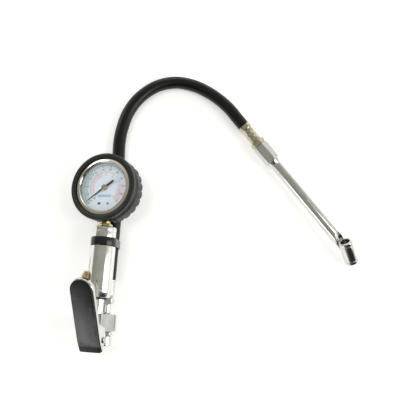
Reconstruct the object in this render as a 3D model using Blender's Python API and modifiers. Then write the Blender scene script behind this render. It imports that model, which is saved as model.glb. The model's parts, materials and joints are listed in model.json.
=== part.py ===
"""Tyre inflator with dial gauge, hand lever, air hose and twin-mouth chuck.

The handle lies on its back, rolled over the hose that runs behind it, until the
gauge's rubber boot touches the surface.  Metres, +Z up, origin on the surface.
Handle frame: +X to the handle's right side, +Y along it towards the gauge,
+Z out of the dial (the front).
"""
import math

import bmesh
import bpy
from mathutils import Matrix, Vector

# ---------------------------------------------------------------- driving sizes
GAP = 0.0003

HANDLE_PIN = (0.0009, -0.0961, 0.03325)
HANDLE_ROLL = math.radians(-27.0)
HANDLE_PITCH = math.radians(-2.13)

GAUGE_Y = 0.166
GAUGE_CASE_R = 0.0313
GAUGE_CASE_WALL = 0.0009
BEZEL_R = 0.0326
BOOT_R = 0.0385
BOOT_LIP_R = 0.0387
BOOT_FRONT = 0.0180
BOOT_BACK = -0.0126
DIAL_FRONT = 0.0091

BODY_R = 0.01375
BODY_BORE_R = 0.0095
BODY_NECK_R = 0.0129
CAP_R = 0.0130
CAP_TOP_Y = 0.1222
JOINT_Y = 0.1065
BODY_FLOOR_Y = 0.0560
BODY_END_Y = 0.0443
CLIP_LOW_Y = 0.1011
CLIP_HIGH_Y = 0.1102

BLOCK_HALF_WIDTH = 0.0090
BLOCK_LOW_Y = 0.0085
BLOCK_HIGH_Y = 0.0272
BLOCK_FRONT = 0.0055
BLOCK_BACK = -0.0320
VALVE_Y = 0.01785
VALVE_BORE_R = 0.0046
INLET_Z = -0.0250

# The lever's points are (depth, height) in the handle's side view.
LEVER_PIN_Z = 0.0050
LEVER_LEAN = math.radians(27.6)
LEVER_TOP = 0.0686
LEVER_BEND = -0.0022
LEVER_TOE = (0.0059, -0.0128)
LEVER_TOE_BACK = (0.0049, -0.0120)
LEVER_WIDTH = 0.0270
LEVER_SHEET = 0.0012
LEVER_FACE_AT_PIN = 0.0145
LEVER_FLANGE = 0.0046
SIDE_VIEW = (0, math.radians(-90), 0)

BLEED_Y = 0.0653
BLEED_ANGLE = math.radians(55.0)
BLEED_OUT = (-math.sin(BLEED_ANGLE), 0.0, math.cos(BLEED_ANGLE))

HOSE_R = 0.0075
HOSE_Z = -0.0224
FERRULE_R = 0.0082
HOSE_NUT_Y = 0.0385
HOSE_NUT_END_Y = 0.0463
FERRULE_END_Y = 0.0638
# The hose's route on the surface, from the handle's ferrule to the chuck's.
HOSE_ROUTE = [
    (0.0111, -0.0328, 0.0109),
    (0.0111, -0.0119, 0.0101),
    (0.0111, 0.0081, 0.0093),
    (0.0111, 0.0281, 0.0086),
    (0.0111, 0.0505, 0.0080),
    (0.0110, 0.0725, 0.0077),
    (0.0103, 0.0965, 0.0077),
    (0.0086, 0.1165, 0.0077),
    (0.0080, 0.1335, 0.0077),
    (0.0099, 0.1515, 0.0077),
    (0.0154, 0.1720, 0.0077),
    (0.0274, 0.1925, 0.0077),
    (0.0468, 0.2098, 0.0077),
    (0.0700, 0.2183, 0.0077),
    (0.0930, 0.2175, 0.0077),
    (0.1120, 0.2113, 0.0078),
    (0.1272, 0.2031, 0.0080),
    (0.1408, 0.1927, 0.0084),
    (0.1511, 0.1818, 0.0088),
    (0.1612, 0.1711, 0.0093),
]
HOSE_STEP = 4.0 * HOSE_R

CHUCK_START = (0.1614, 0.1709, 0.0093)
CHUCK_HEAD = (0.3012, 0.0234, 0.0156)
CHUCK_FERRULE_END = 0.0235
CHUCK_COLLAR_END = 0.0300
CHUCK_HEX_END = 0.0560
CHUCK_SHOULDER_END = 0.0610
CHUCK_TUBE_R = 0.0069
HEAD_R = 0.0086
HEAD_HALF = 0.0160
HEAD_DIRECTION = (-0.510, 0.733, 0.450)
MOUTH_R = 0.0056
MOUTH_FLOOR = 0.0062

DIAL_STEPS = 48
BODY_STEPS = 32
SMALL_STEPS = 20

MATERIALS = {
    "boot_rubber": ((0.012, 0.012, 0.013), 0.62, 0.0),
    "hose_rubber": ((0.010, 0.010, 0.011), 0.45, 0.0),
    "seal_rubber": ((0.015, 0.015, 0.015), 0.55, 0.0),
    "case_steel": ((0.25, 0.25, 0.26), 0.35, 1.0),
    "bezel_chrome": ((0.78, 0.76, 0.70), 0.18, 1.0),
    "lens_glass": ((0.90, 0.93, 0.95), 0.04, 0.0),
    "dial_paint": ((0.80, 0.85, 0.90), 0.45, 0.0),
    "pointer_paint": ((0.02, 0.02, 0.02), 0.40, 0.0),
    "brass": ((0.72, 0.55, 0.22), 0.25, 1.0),
    "aluminium": ((0.72, 0.72, 0.70), 0.28, 1.0),
    "block_zinc": ((0.55, 0.56, 0.56), 0.42, 1.0),
    "chrome": ((0.80, 0.80, 0.80), 0.12, 1.0),
    "nickel_brass": ((0.66, 0.62, 0.50), 0.22, 1.0),
    "steel": ((0.60, 0.60, 0.60), 0.30, 1.0),
    "clip_plastic": ((0.010, 0.010, 0.011), 0.25, 0.0),
    "pad_plastic": ((0.014, 0.014, 0.017), 0.30, 0.0),
}


# ---------------------------------------------------------------- scene set-up
def clear_scene():
    for old in list(bpy.data.objects):
        bpy.data.objects.remove(old)


def make_collection(name):
    made = bpy.data.collections.new(name)
    bpy.context.scene.collection.children.link(made)
    return made


def make_materials():
    made = {}
    for name, (color, roughness, metallic) in MATERIALS.items():
        material = bpy.data.materials.new(name)
        material.use_nodes = True
        shader = material.node_tree.nodes["Principled BSDF"]
        shader.inputs["Base Color"].default_value = (*color, 1.0)
        shader.inputs["Roughness"].default_value = roughness
        shader.inputs["Metallic"].default_value = metallic
        material.diffuse_color = (*color, 1.0)
        made[name] = material
    return made


clear_scene()
PARTS = make_collection("tyre_inflator")
CUTTERS = make_collection("cutters")
SURFACE = make_materials()


# ---------------------------------------------------------------- shape helpers
def make_empty(name, location, parent=None, rotation=None):
    empty = bpy.data.objects.new(name, None)
    empty.empty_display_size = 0.01
    empty.location = location
    if rotation is not None:
        empty.rotation_euler = rotation.to_euler()
    if parent is not None:
        empty.parent = parent
    PARTS.objects.link(empty)
    return empty


def aim(direction):
    return Vector(direction).to_track_quat("Z", "Y").to_euler()


def place(name, mesh, surface, parent, location=(0, 0, 0), direction=None, helper=False):
    made = bpy.data.objects.new(name, mesh)
    made.location = location
    if direction is not None:
        made.rotation_euler = aim(direction)
    made.parent = parent
    if helper:
        CUTTERS.objects.link(made)
        made.hide_render = True
        made.display_type = "WIRE"
    else:
        PARTS.objects.link(made)
        mesh.materials.append(SURFACE[surface])
    return made


def turned(name, profile, surface, parent, steps=BODY_STEPS, location=(0, 0, 0),
           direction=None, closed=True, helper=False):
    """Turn (radius, height) points about the local Z axis; the outer side runs top to bottom."""
    mesh = bpy.data.meshes.new(name)
    points = [(radius, 0.0, height) for radius, height in profile]
    edges = [(i, i + 1) for i in range(len(points) - 1)]
    if closed:
        edges.append((len(points) - 1, 0))
    mesh.from_pydata(points, edges, [])
    made = place(name, mesh, surface, parent, location, direction, helper)
    screw = made.modifiers.new("turn", "SCREW")
    screw.steps = steps
    screw.render_steps = steps
    screw.use_merge_vertices = True
    screw.merge_threshold = 0.00001
    screw.use_smooth_shade = True
    return made


def solid_disc(name, radius, low, high, surface, parent, steps=SMALL_STEPS, **where):
    profile = [(0.0, high), (radius, high), (radius, low), (0.0, low)]
    return turned(name, profile, surface, parent, steps, closed=False, **where)


def ring(name, inner, outer, low, high, surface, parent, steps=BODY_STEPS, **where):
    profile = [(outer, high), (outer, low), (inner, low), (inner, high)]
    return turned(name, profile, surface, parent, steps, **where)


def hexagon(name, across_flats, low, high, surface, parent, location=(0, 0, 0), direction=None,
            helper=False, bevel=0.0004, turn=0.0):
    mesh = bpy.data.meshes.new(name)
    shape = bmesh.new()
    radius = across_flats / math.sqrt(3.0)
    bmesh.ops.create_cone(shape, cap_ends=True, segments=6, radius1=radius, radius2=radius,
                          depth=high - low)
    bmesh.ops.rotate(shape, verts=shape.verts, matrix=Matrix.Rotation(turn, 3, "Z"))
    bmesh.ops.translate(shape, verts=shape.verts, vec=(0, 0, (low + high) / 2.0))
    shape.to_mesh(mesh)
    shape.free()
    made = place(name, mesh, surface, parent, location, direction, helper)
    if bevel:
        edge = made.modifiers.new("edge", "BEVEL")
        edge.width = bevel
        edge.segments = 1
    return made


def box(name, low, high, surface, parent, helper=False, bevel=0.0):
    """A box between two corners in the parent's frame."""
    mesh = bpy.data.meshes.new(name)
    shape = bmesh.new()
    bmesh.ops.create_cube(shape, size=1.0)
    size = [b - a for a, b in zip(low, high)]
    middle = [(a + b) / 2.0 for a, b in zip(low, high)]
    bmesh.ops.scale(shape, verts=shape.verts, vec=size)
    shape.to_mesh(mesh)
    shape.free()
    made = place(name, mesh, surface, parent, middle, None, helper)
    if bevel:
        edge = made.modifiers.new("edge", "BEVEL")
        edge.width = bevel
        edge.segments = 2
    return made


def plate(name, outlines, thickness, surface, parent, location=(0, 0, 0), rotation=None,
          helper=False):
    """A flat sheet: closed outlines in the local XY plane, thickness centred on it."""
    curve = bpy.data.curves.new(name, "CURVE")
    curve.dimensions = "2D"
    curve.fill_mode = "BOTH"
    curve.extrude = thickness / 2.0
    for outline in outlines:
        spline = curve.splines.new("POLY")
        spline.points.add(len(outline) - 1)
        for point, (x, y) in zip(spline.points, outline):
            point.co = (x, y, 0.0, 1.0)
        spline.use_cyclic_u = True
    guide = bpy.data.objects.new(name + "_outline", curve)
    CUTTERS.objects.link(guide)
    mesh = solid_from_curve(guide, name)
    made = place(name, mesh, surface, parent, location, None, helper)
    if rotation is not None:
        made.rotation_euler = rotation
    return made


def solid_from_curve(guide, name):
    bpy.context.view_layer.update()
    graph = bpy.context.evaluated_depsgraph_get()
    mesh = bpy.data.meshes.new_from_object(guide.evaluated_get(graph))
    mesh.name = name
    shape = bmesh.new()
    shape.from_mesh(mesh)
    bmesh.ops.remove_doubles(shape, verts=shape.verts, dist=0.000001)
    bmesh.ops.recalc_face_normals(shape, faces=shape.faces)
    shape.to_mesh(mesh)
    shape.free()
    mesh.materials.clear()
    bpy.data.objects.remove(guide)
    return mesh


def wire(name, points, radius, surface, parent, location=(0, 0, 0), direction=None, sides=2):
    curve = bpy.data.curves.new(name, "CURVE")
    curve.dimensions = "3D"
    curve.bevel_depth = radius
    curve.bevel_resolution = sides
    curve.use_fill_caps = True
    spline = curve.splines.new("POLY")
    spline.points.add(len(points) - 1)
    for point, place_at in zip(spline.points, points):
        point.co = (*place_at, 1.0)
    made = bpy.data.objects.new(name, curve)
    made.location = location
    if direction is not None:
        made.rotation_euler = aim(direction)
    made.parent = parent
    curve.materials.append(SURFACE[surface])
    PARTS.objects.link(made)
    return made


def combine(target, helper, operation="DIFFERENCE"):
    change = target.modifiers.new(operation.lower(), "BOOLEAN")
    change.operation = operation
    change.solver = "EXACT"
    change.object = helper


def arc(radius, start, end, count, center=(0.0, 0.0)):
    points = []
    for i in range(count + 1):
        angle = math.radians(start + (end - start) * i / count)
        points.append((center[0] + radius * math.cos(angle), center[1] + radius * math.sin(angle)))
    return points


def coil(radius, low, high, turns, per_turn=10):
    count = int(turns * per_turn)
    points = []
    for i in range(count + 1):
        angle = 2.0 * math.pi * i / per_turn
        height = low + (high - low) * i / count
        points.append((radius * math.cos(angle), radius * math.sin(angle), height))
    return points


def smooth_route(points, step):
    """Read evenly spaced points from a Catmull-Rom curve through the route's points."""
    knots = [Vector(p) for p in points]
    padded = [knots[0] * 2 - knots[1]] + knots + [knots[-1] * 2 - knots[-2]]
    fine = []
    for a, b, c, d in zip(padded, padded[1:], padded[2:], padded[3:]):
        for i in range(20):
            t = i / 20.0
            fine.append(0.5 * ((2 * b) + (c - a) * t + (2 * a - 5 * b + 4 * c - d) * t * t
                               + (3 * b - a - 3 * c + d) * t ** 3))
    fine.append(knots[-1])
    lengths = [0.0]
    for a, b in zip(fine, fine[1:]):
        lengths.append(lengths[-1] + (b - a).length)
    count = round(lengths[-1] / step)
    read = []
    index = 0
    for k in range(count + 1):
        wanted = lengths[-1] * k / count
        while index < len(fine) - 2 and lengths[index + 1] < wanted:
            index += 1
        share = (wanted - lengths[index]) / (lengths[index + 1] - lengths[index])
        read.append(fine[index].lerp(fine[index + 1], share))
    return read


# ---------------------------------------------------------------- frames
HANDLE_TURN = Matrix.Rotation(HANDLE_PITCH, 3, "X") @ Matrix.Rotation(HANDLE_ROLL, 3, "Y")
HANDLE = make_empty("handle_frame", HANDLE_PIN, rotation=HANDLE_TURN)
GAUGE = make_empty("gauge_frame", (0, GAUGE_Y, 0), HANDLE)
ALONG = (0, 1, 0)


# ---------------------------------------------------------------- gauge
def build_boot():
    profile = [
        (0.0330, BOOT_FRONT), (0.0366, 0.0178), (BOOT_LIP_R, 0.0164), (BOOT_LIP_R, 0.0090),
        (0.0368, 0.0082), (0.0368, 0.0066), (BOOT_R, 0.0056), (BOOT_R, -0.0095),
        (0.0366, -0.0117), (0.0335, BOOT_BACK), (0.0255, BOOT_BACK), (0.0255, -0.0112),
        (0.0316, -0.0112), (0.0316, 0.0099), (0.0329, 0.0099),
    ]
    boot = turned("gauge_boot", profile, "boot_rubber", GAUGE, DIAL_STEPS)
    hole = solid_disc("boot_stem_hole", 0.0090, -0.0500, -0.0200, None, GAUGE, 24,
                      direction=ALONG, helper=True)
    combine(boot, hole)


def build_case():
    inner = GAUGE_CASE_R - GAUGE_CASE_WALL
    profile = [
        (GAUGE_CASE_R, 0.0096), (GAUGE_CASE_R, -0.0109), (0.0, -0.0109), (0.0, -0.0099),
        (inner, -0.0099), (inner, 0.0096),
    ]
    case = turned("gauge_case", profile, "case_steel", GAUGE, DIAL_STEPS)
    hole = solid_disc("case_stem_hole", 0.0063, -0.0500, -0.0250, None, GAUGE, 24,
                      direction=ALONG, helper=True)
    combine(case, hole)


def build_front():
    turned("gauge_bezel", [
        (0.0280, 0.0170), (0.0314, 0.0170), (BEZEL_R, 0.0158), (BEZEL_R, 0.0099),
        (0.0316, 0.0099), (0.0316, 0.0152), (0.0276, 0.0152), (0.0276, 0.0164),
    ], "bezel_chrome", GAUGE, DIAL_STEPS)
    turned("gauge_lens", [
        (0.0, 0.0164), (0.0090, 0.0162), (0.0180, 0.0157), (0.0265, 0.0149), (0.0313, 0.0149),
        (0.0313, 0.0134), (0.0, 0.0134),
    ], "lens_glass", GAUGE, DIAL_STEPS, closed=False)
    ring("lens_gasket", 0.0302, 0.0313, 0.0099, 0.0131, "seal_rubber", GAUGE, DIAL_STEPS)
    ring("dial_plate", 0.0013, 0.0300, DIAL_FRONT - 0.0008, DIAL_FRONT, "dial_paint", GAUGE,
         DIAL_STEPS)
    solid_disc("pointer_stop_pin", 0.0005, DIAL_FRONT + GAP, 0.0118, "steel", GAUGE, 8,
               location=(-0.0100, -0.0128, 0))


def build_pointer():
    zero = math.radians(217.0)
    needle = [(-0.0130, -0.0011), (0.0, -0.0012), (0.0235, -0.0002), (0.0235, 0.0002), (0.0, 0.0012),
              (-0.0130, 0.0011)]
    blade = plate("pointer", [needle], 0.0005, "pointer_paint", GAUGE, (0, 0, 0.0107),
                  (0, 0, zero))
    hub = solid_disc("pointer_hub", 0.0028, 0.0104, 0.0119, None, GAUGE, 16, helper=True)
    combine(blade, hub, "UNION")
    turned("pointer_shaft", [
        (0.0, 0.0101), (0.0009, 0.0101), (0.0009, 0.0018), (0.0015, 0.0018), (0.0015, -0.0002),
        (0.0009, -0.0002), (0.0009, -0.0040), (0.0, -0.0040),
    ], "brass", GAUGE, 16, closed=False)


def build_movement():
    plate_shape = [(-0.0100, -0.0125), (0.0100, -0.0125), (0.0100, 0.0055), (-0.0100, 0.0055)]
    shaft_hole = arc(0.0013, 0, 330, 11)
    sector_hole = arc(0.0013, 0, 330, 11, (0.0, -0.0095))
    plate("movement_front_plate", [plate_shape, shaft_hole, sector_hole], 0.0008, "brass", GAUGE,
          (0, 0, 0.0056))
    back_shape = [(-0.0100, -0.0245), (0.0100, -0.0245), (0.0100, 0.0055), (-0.0100, 0.0055)]
    plate("movement_back_plate", [back_shape], 0.0008, "brass", GAUGE, (0, 0, -0.0048))
    for index, x in enumerate((-0.0085, 0.0085)):
        solid_disc("movement_post_%d" % (index + 1), 0.0013, -0.0044 + GAP, 0.0052 - GAP, "brass",
                   GAUGE, 12, location=(x, 0.0035, 0))
    fan = [(0.0006, 0.0009)] + arc(0.0077, 93, 36, 8) + [(0.0010, -0.0005), (0.0011, -0.0074),
                                                         (-0.0011, -0.0074), (-0.0011, 0.0)]
    sector = plate("sector_gear", [fan], 0.0010, "brass", GAUGE, (0, -0.0095, 0.0009))
    arbor = solid_disc("sector_arbor", 0.0009, -0.0040, 0.0048, None, GAUGE, 12,
                       location=(0, -0.0095, 0), helper=True)
    stud = solid_disc("sector_stud", 0.0007, 0.0008, 0.0040, None, GAUGE, 10,
                      location=(0, -0.0162, 0), helper=True)
    combine(sector, arbor, "UNION")
    combine(sector, stud, "UNION")
    link = arc(0.0012, 90, 270, 6, (0.0, 0.0)) + arc(0.0012, -90, 90, 6, (0.0185, 0.0028))
    plate("tip_link", [link], 0.0005, "brass", GAUGE, (0, -0.0162, 0.00455))
    outer = arc(0.0243, 250, -28, 30)
    inner = arc(0.0217, -28, 250, 30)
    plate("bourdon_tube", [outer + inner], 0.0076, "nickel_brass", GAUGE, (0, 0, 0))
    tip_low = (0.0180, -0.0140, -0.0038)
    tip_high = (0.0215, -0.0116, 0.0038)
    box("bourdon_tip", tip_low, tip_high, "brass", GAUGE)
    spiral = []
    for i in range(31):
        angle = 2.0 * math.pi * i / 12
        radius = 0.0017 + 0.0038 * i / 30
        spiral.append((radius * math.cos(angle), radius * math.sin(angle), 0.0034))
    wire("hairspring", spiral, 0.00015, "steel", GAUGE)


def build_socket():
    socket = box("gauge_socket", (-0.0066, -0.0270, -0.0041), (0.0066, -0.0190, 0.0038), "brass", GAUGE)
    neck = turned("socket_neck", [
        (0.0, -0.0250), (0.0058, -0.0250), (0.0058, -0.0415), (0.0049, -0.0425), (0.0049, -0.0535),
        (0.0, -0.0535),
    ], None, GAUGE, 24, direction=ALONG, closed=False, helper=True)
    nut = hexagon("socket_hex", 0.0148, -0.0433, -0.0399, None, GAUGE, direction=ALONG, helper=True)
    combine(socket, neck, "UNION")
    combine(socket, nut, "UNION")


# ---------------------------------------------------------------- handle
def build_body():
    turned("body_top_cap", [
        (0.0052, CAP_TOP_Y), (CAP_R - 0.0006, CAP_TOP_Y), (CAP_R, CAP_TOP_Y - 0.0006),
        (CAP_R, JOINT_Y + GAP), (0.0092, JOINT_Y + GAP), (0.0092, 0.0990), (0.0030, 0.0990),
        (0.0030, 0.1115), (0.0052, 0.1115),
    ], "aluminium", HANDLE, direction=ALONG)
    ring("cap_oring", 0.0032, 0.0090, 0.0970, 0.0987, "seal_rubber", HANDLE, 24, direction=ALONG)
    body = turned("handle_body", [
        (BODY_BORE_R, JOINT_Y), (BODY_NECK_R, JOINT_Y), (BODY_NECK_R, 0.1008), (BODY_R, 0.1004),
        (BODY_R, 0.0518), (0.0124, BODY_END_Y), (0.0062, BODY_END_Y), (0.0062, 0.0238),
        (0.0026, 0.0238), (0.0026, BODY_FLOOR_Y), (BODY_BORE_R, BODY_FLOOR_Y),
    ], "aluminium", HANDLE, direction=ALONG)
    pocket = turned("bleed_pocket", [
        (0.0, 0.0200), (0.0074, 0.0200), (0.0074, 0.0130), (0.0033, 0.0130), (0.0033, 0.0060),
        (0.0, 0.0060),
    ], None, HANDLE, 24, (0, BLEED_Y, 0), BLEED_OUT, closed=False, helper=True)
    combine(body, pocket)
    ring("body_oring", 0.0065, 0.0104, 0.0425, 0.0440, "seal_rubber", HANDLE, 24, direction=ALONG)


def build_bleed_valve():
    where = {"location": (0, BLEED_Y, 0), "direction": BLEED_OUT}
    turned("bleed_housing", [
        (0.0046, 0.0184), (0.0064, 0.0184), (0.0070, 0.0178), (0.0070, 0.0133), (0.0030, 0.0133),
        (0.0030, 0.0103), (0.0017, 0.0103), (0.0017, 0.0139), (0.0046, 0.0139),
    ], "brass", HANDLE, 24, **where)
    turned("bleed_button", [
        (0.0, 0.0208), (0.0026, 0.0206), (0.0039, 0.0198), (0.0043, 0.0188), (0.0043, 0.0164),
        (0.0013, 0.0164), (0.0013, 0.0093), (0.0024, 0.0093), (0.0024, 0.0083), (0.0, 0.0083),
    ], "brass", HANDLE, 20, closed=False, **where)
    ring("bleed_seal", 0.0015, 0.0026, 0.0096, 0.0100, "seal_rubber", HANDLE, 16, **where)
    wire("bleed_spring", coil(0.0030, 0.0143, 0.0160, 2.0), 0.00018, "steel", HANDLE, **where)


def build_clip():
    big, small = 0.0142, 0.0090
    lean = math.degrees(math.acos((big - small) / -HOSE_Z))
    outer = belt(big, small, lean)
    inner = belt(big - 0.0009, small - 0.0010, lean)
    # In the plate's plane +X is the handle's right side and +Y its back.
    plate("hose_clip", [outer, inner], CLIP_HIGH_Y - CLIP_LOW_Y, "clip_plastic", HANDLE,
          (0, (CLIP_LOW_Y + CLIP_HIGH_Y) / 2.0, 0), (math.radians(-90), 0, 0))


def belt(big, small, lean):
    """A belt round a large circle at the origin and a small one at the hose, towards +Y."""
    around_body = arc(big, 90 + lean, 450 - lean, 20)
    around_hose = arc(small, 90 - lean, 90 + lean, 10, (0.0, -HOSE_Z))
    return around_body + around_hose


def build_block():
    block = box("manifold_block", (-BLOCK_HALF_WIDTH, BLOCK_LOW_Y, BLOCK_BACK),
                (BLOCK_HALF_WIDTH, BLOCK_HIGH_Y, BLOCK_FRONT), "block_zinc", HANDLE, bevel=0.0008)
    web = box("lug_web", (-BLOCK_HALF_WIDTH + 0.0008, -0.0010, -0.0005),
              (BLOCK_HALF_WIDTH - 0.0008, 0.0120, 0.0100), None, HANDLE, helper=True)
    lug = solid_disc("lug_barrel", 0.0054, -0.0119, 0.0119, None, HANDLE, 24,
                     location=(0, 0, LEVER_PIN_Z), direction=(1, 0, 0), helper=True)
    combine(block, web, "UNION")
    combine(block, lug, "UNION")
    holes = [
        solid_disc("lug_pin_hole", 0.0022, -0.0130, 0.0130, None, HANDLE, 16,
                   location=(0, 0, LEVER_PIN_Z), direction=(1, 0, 0), helper=True),
        solid_disc("valve_bore", VALVE_BORE_R, -0.0135, 0.0110, None, HANDLE, 24,
                   location=(0, VALVE_Y, 0), helper=True),
        solid_disc("tail_hole", 0.0066, 0.0234, 0.0300, None, HANDLE, 24, direction=ALONG, helper=True),
        solid_disc("hose_hole", 0.0053, 0.0222, 0.0300, None, HANDLE, 24,
                   location=(0, 0, HOSE_Z), direction=ALONG, helper=True),
        solid_disc("inlet_hole", 0.0053, 0.0000, 0.0145, None, HANDLE, 24,
                   location=(0, 0, INLET_Z), direction=ALONG, helper=True),
        box("panel_right", (0.0084, 0.0113, -0.0283), (0.0110, 0.0257, 0.0030), None, HANDLE, True),
        box("panel_left", (-0.0110, 0.0113, -0.0283), (-0.0084, 0.0257, 0.0030), None, HANDLE, True),
    ]
    for hole in holes:
        combine(block, hole)


def build_valve():
    at = {"location": (0, VALVE_Y, 0)}
    nut = turned("valve_guide_nut", [
        (0.0023, 0.0100), (0.0040, 0.0100), (0.0040, 0.0060), (0.0043, 0.0060), (0.0043, -0.0005),
        (0.0023, -0.0005),
    ], "brass", HANDLE, 24, **at)
    flats = turned("guide_hex", [
        (0.0030, 0.0094), (0.0064, 0.0094), (0.0064, 0.0058), (0.0030, 0.0058),
    ], None, HANDLE, 6, helper=True, **at)
    combine(nut, flats, "UNION")
    turned("valve_plunger", [
        (0.0, 0.0218), (0.0009, 0.0216), (0.0016, 0.0210), (0.0020, 0.0198), (0.0020, -0.0030),
        (0.0036, -0.0030), (0.0036, -0.0052), (0.0, -0.0052),
    ], "steel", HANDLE, 16, closed=False, **at)
    ring("valve_seal", 0.0022, 0.0038, -0.0027, -0.0010, "seal_rubber", HANDLE, 16, **at)
    wire("valve_spring", coil(0.0031, -0.0128, -0.0058, 3.0), 0.0003, "steel", HANDLE, **at)


def build_inlet():
    at = {"location": (0, 0, INLET_Z), "direction": ALONG}
    inlet = turned("inlet_fitting", [
        (0.0, 0.0138), (0.0050, 0.0138), (0.0050, 0.0040), (0.0072, 0.0030), (0.0072, -0.0070),
        (0.0067, -0.0076), (0.0056, -0.0076), (0.0056, 0.0030), (0.0, 0.0030),
    ], "chrome", HANDLE, 24, closed=False, **at)
    nut = hexagon("inlet_hex", 0.0145, 0.0035, BLOCK_LOW_Y - GAP, None, HANDLE, helper=True, **at)
    combine(inlet, nut, "UNION")
    solid_disc("inlet_filter", 0.0052, 0.0012, 0.0027, "nickel_brass", HANDLE, 20, **at)


def build_hose_end():
    at = {"location": (0, 0, HOSE_Z), "direction": ALONG}
    turned("hose_adapter", [
        (0.0, 0.0382), (0.0044, 0.0382), (0.0049, 0.0377), (0.0049, 0.0226), (0.0, 0.0226),
    ], "chrome", HANDLE, 24, closed=False, **at)
    hexagon("handle_hose_nut", 0.0150, HOSE_NUT_Y, HOSE_NUT_END_Y, "chrome", HANDLE, **at)
    turned("handle_ferrule", [
        (0.0, FERRULE_END_Y), (0.0078, FERRULE_END_Y), (FERRULE_R, FERRULE_END_Y - 0.0005),
        (FERRULE_R, 0.0578), (0.0078, 0.0572), (0.0078, 0.0550), (FERRULE_R, 0.0544),
        (FERRULE_R, 0.0480), (0.0070, HOSE_NUT_END_Y + GAP), (0.0, HOSE_NUT_END_Y + GAP),
    ], "chrome", HANDLE, 24, closed=False, **at)


# ---------------------------------------------------------------- lever
def lever_line(distance, inset=0.0):
    """A point (depth, height) of the lever's face in the handle's side view, at a distance
    up the lever from the pin's level, and inset into the sheet."""
    depth = LEVER_FACE_AT_PIN + distance * math.sin(LEVER_LEAN) - inset * math.cos(LEVER_LEAN)
    height = distance * math.cos(LEVER_LEAN) + inset * math.sin(LEVER_LEAN)
    return (depth, height)


def build_lever():
    half = LEVER_WIDTH / 2.0
    bend = lever_line(LEVER_BEND)
    face = [lever_line(LEVER_TOP), bend, LEVER_TOE]
    back = [LEVER_TOE_BACK, lever_line(LEVER_BEND, LEVER_SHEET), lever_line(LEVER_TOP, LEVER_SHEET)]
    lever = plate("lever", [face + back], LEVER_WIDTH, "chrome", HANDLE, (0, 0, 0), SIDE_VIEW)
    crown_center = LEVER_TOP - half
    top = arc(half, 0, 180, 16, (0.0, crown_center)) + [(-half, -0.0400), (half, -0.0400)]
    crown = plate("lever_outline", [top], 0.0800, None, HANDLE, (0, 0, LEVER_FACE_AT_PIN), helper=True)
    crown.rotation_euler = (LEVER_LEAN, 0, 0)
    combine(lever, crown, "INTERSECT")
    ear = [lever_line(crown_center), bend, LEVER_TOE, (0.0028, -0.0105), (-0.0012, 0.0), (0.0006, 0.0052),
           (0.0060, 0.0090), lever_line(0.0150, LEVER_FLANGE), lever_line(crown_center, LEVER_FLANGE)]
    for side in (-1, 1):
        flange = plate("lever_flange", [ear], LEVER_SHEET, None, HANDLE,
                       (side * (half - LEVER_SHEET / 2.0 - 0.0002), 0, 0), SIDE_VIEW, helper=True)
        combine(lever, flange, "UNION")
    rim = arc(half - 0.0001, -4, 184, 18, (0.0, crown_center))
    rim += arc(half - LEVER_SHEET - 0.0002, 184, -4, 18, (0.0, crown_center))
    drop = Vector((0, math.sin(LEVER_LEAN), -math.cos(LEVER_LEAN))) * (LEVER_FLANGE / 2.0)
    lip = plate("lever_lip", [rim], LEVER_FLANGE, None, HANDLE,
                (0, drop.y, LEVER_FACE_AT_PIN + drop.z), helper=True)
    lip.rotation_euler = (LEVER_LEAN, 0, 0)
    combine(lever, lip, "UNION")
    hole = solid_disc("lever_pin_hole", 0.0022, -0.0200, 0.0200, None, HANDLE, 16,
                      location=(0, 0, LEVER_PIN_Z), direction=(1, 0, 0), helper=True)
    combine(lever, hole)


def build_lever_pad():
    half = LEVER_WIDTH / 2.0 - 0.0012
    center = LEVER_TOP - LEVER_WIDTH / 2.0
    outline = [(half, LEVER_BEND + 0.0010)] + arc(half, 0, 180, 16, (0.0, center))
    outline.append((-half, LEVER_BEND + 0.0010))
    lift = Vector((0, -math.sin(LEVER_LEAN), math.cos(LEVER_LEAN))) * (0.0007 + GAP)
    plate("lever_pad", [outline], 0.0014, "pad_plastic", HANDLE,
          (0, lift.y, LEVER_FACE_AT_PIN + lift.z), (LEVER_LEAN, 0, 0))


def build_lever_pin():
    at = {"location": (0, 0, LEVER_PIN_Z), "direction": (1, 0, 0)}
    turned("lever_pin", [
        (0.0, 0.0152), (0.0028, 0.0152), (0.0034, 0.0146), (0.0034, 0.0138), (0.0019, 0.0138),
        (0.0019, -0.0152), (0.0, -0.0152),
    ], "steel", HANDLE, 16, closed=False, **at)
    ring("lever_pin_clip", 0.0022, 0.0042, -0.0146, -0.0139, "steel", HANDLE, 16, **at)


# ---------------------------------------------------------------- hose and chuck
def build_hose():
    wire("air_hose", smooth_route(HOSE_ROUTE, HOSE_STEP), HOSE_R, "hose_rubber", None, sides=4)


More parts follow.
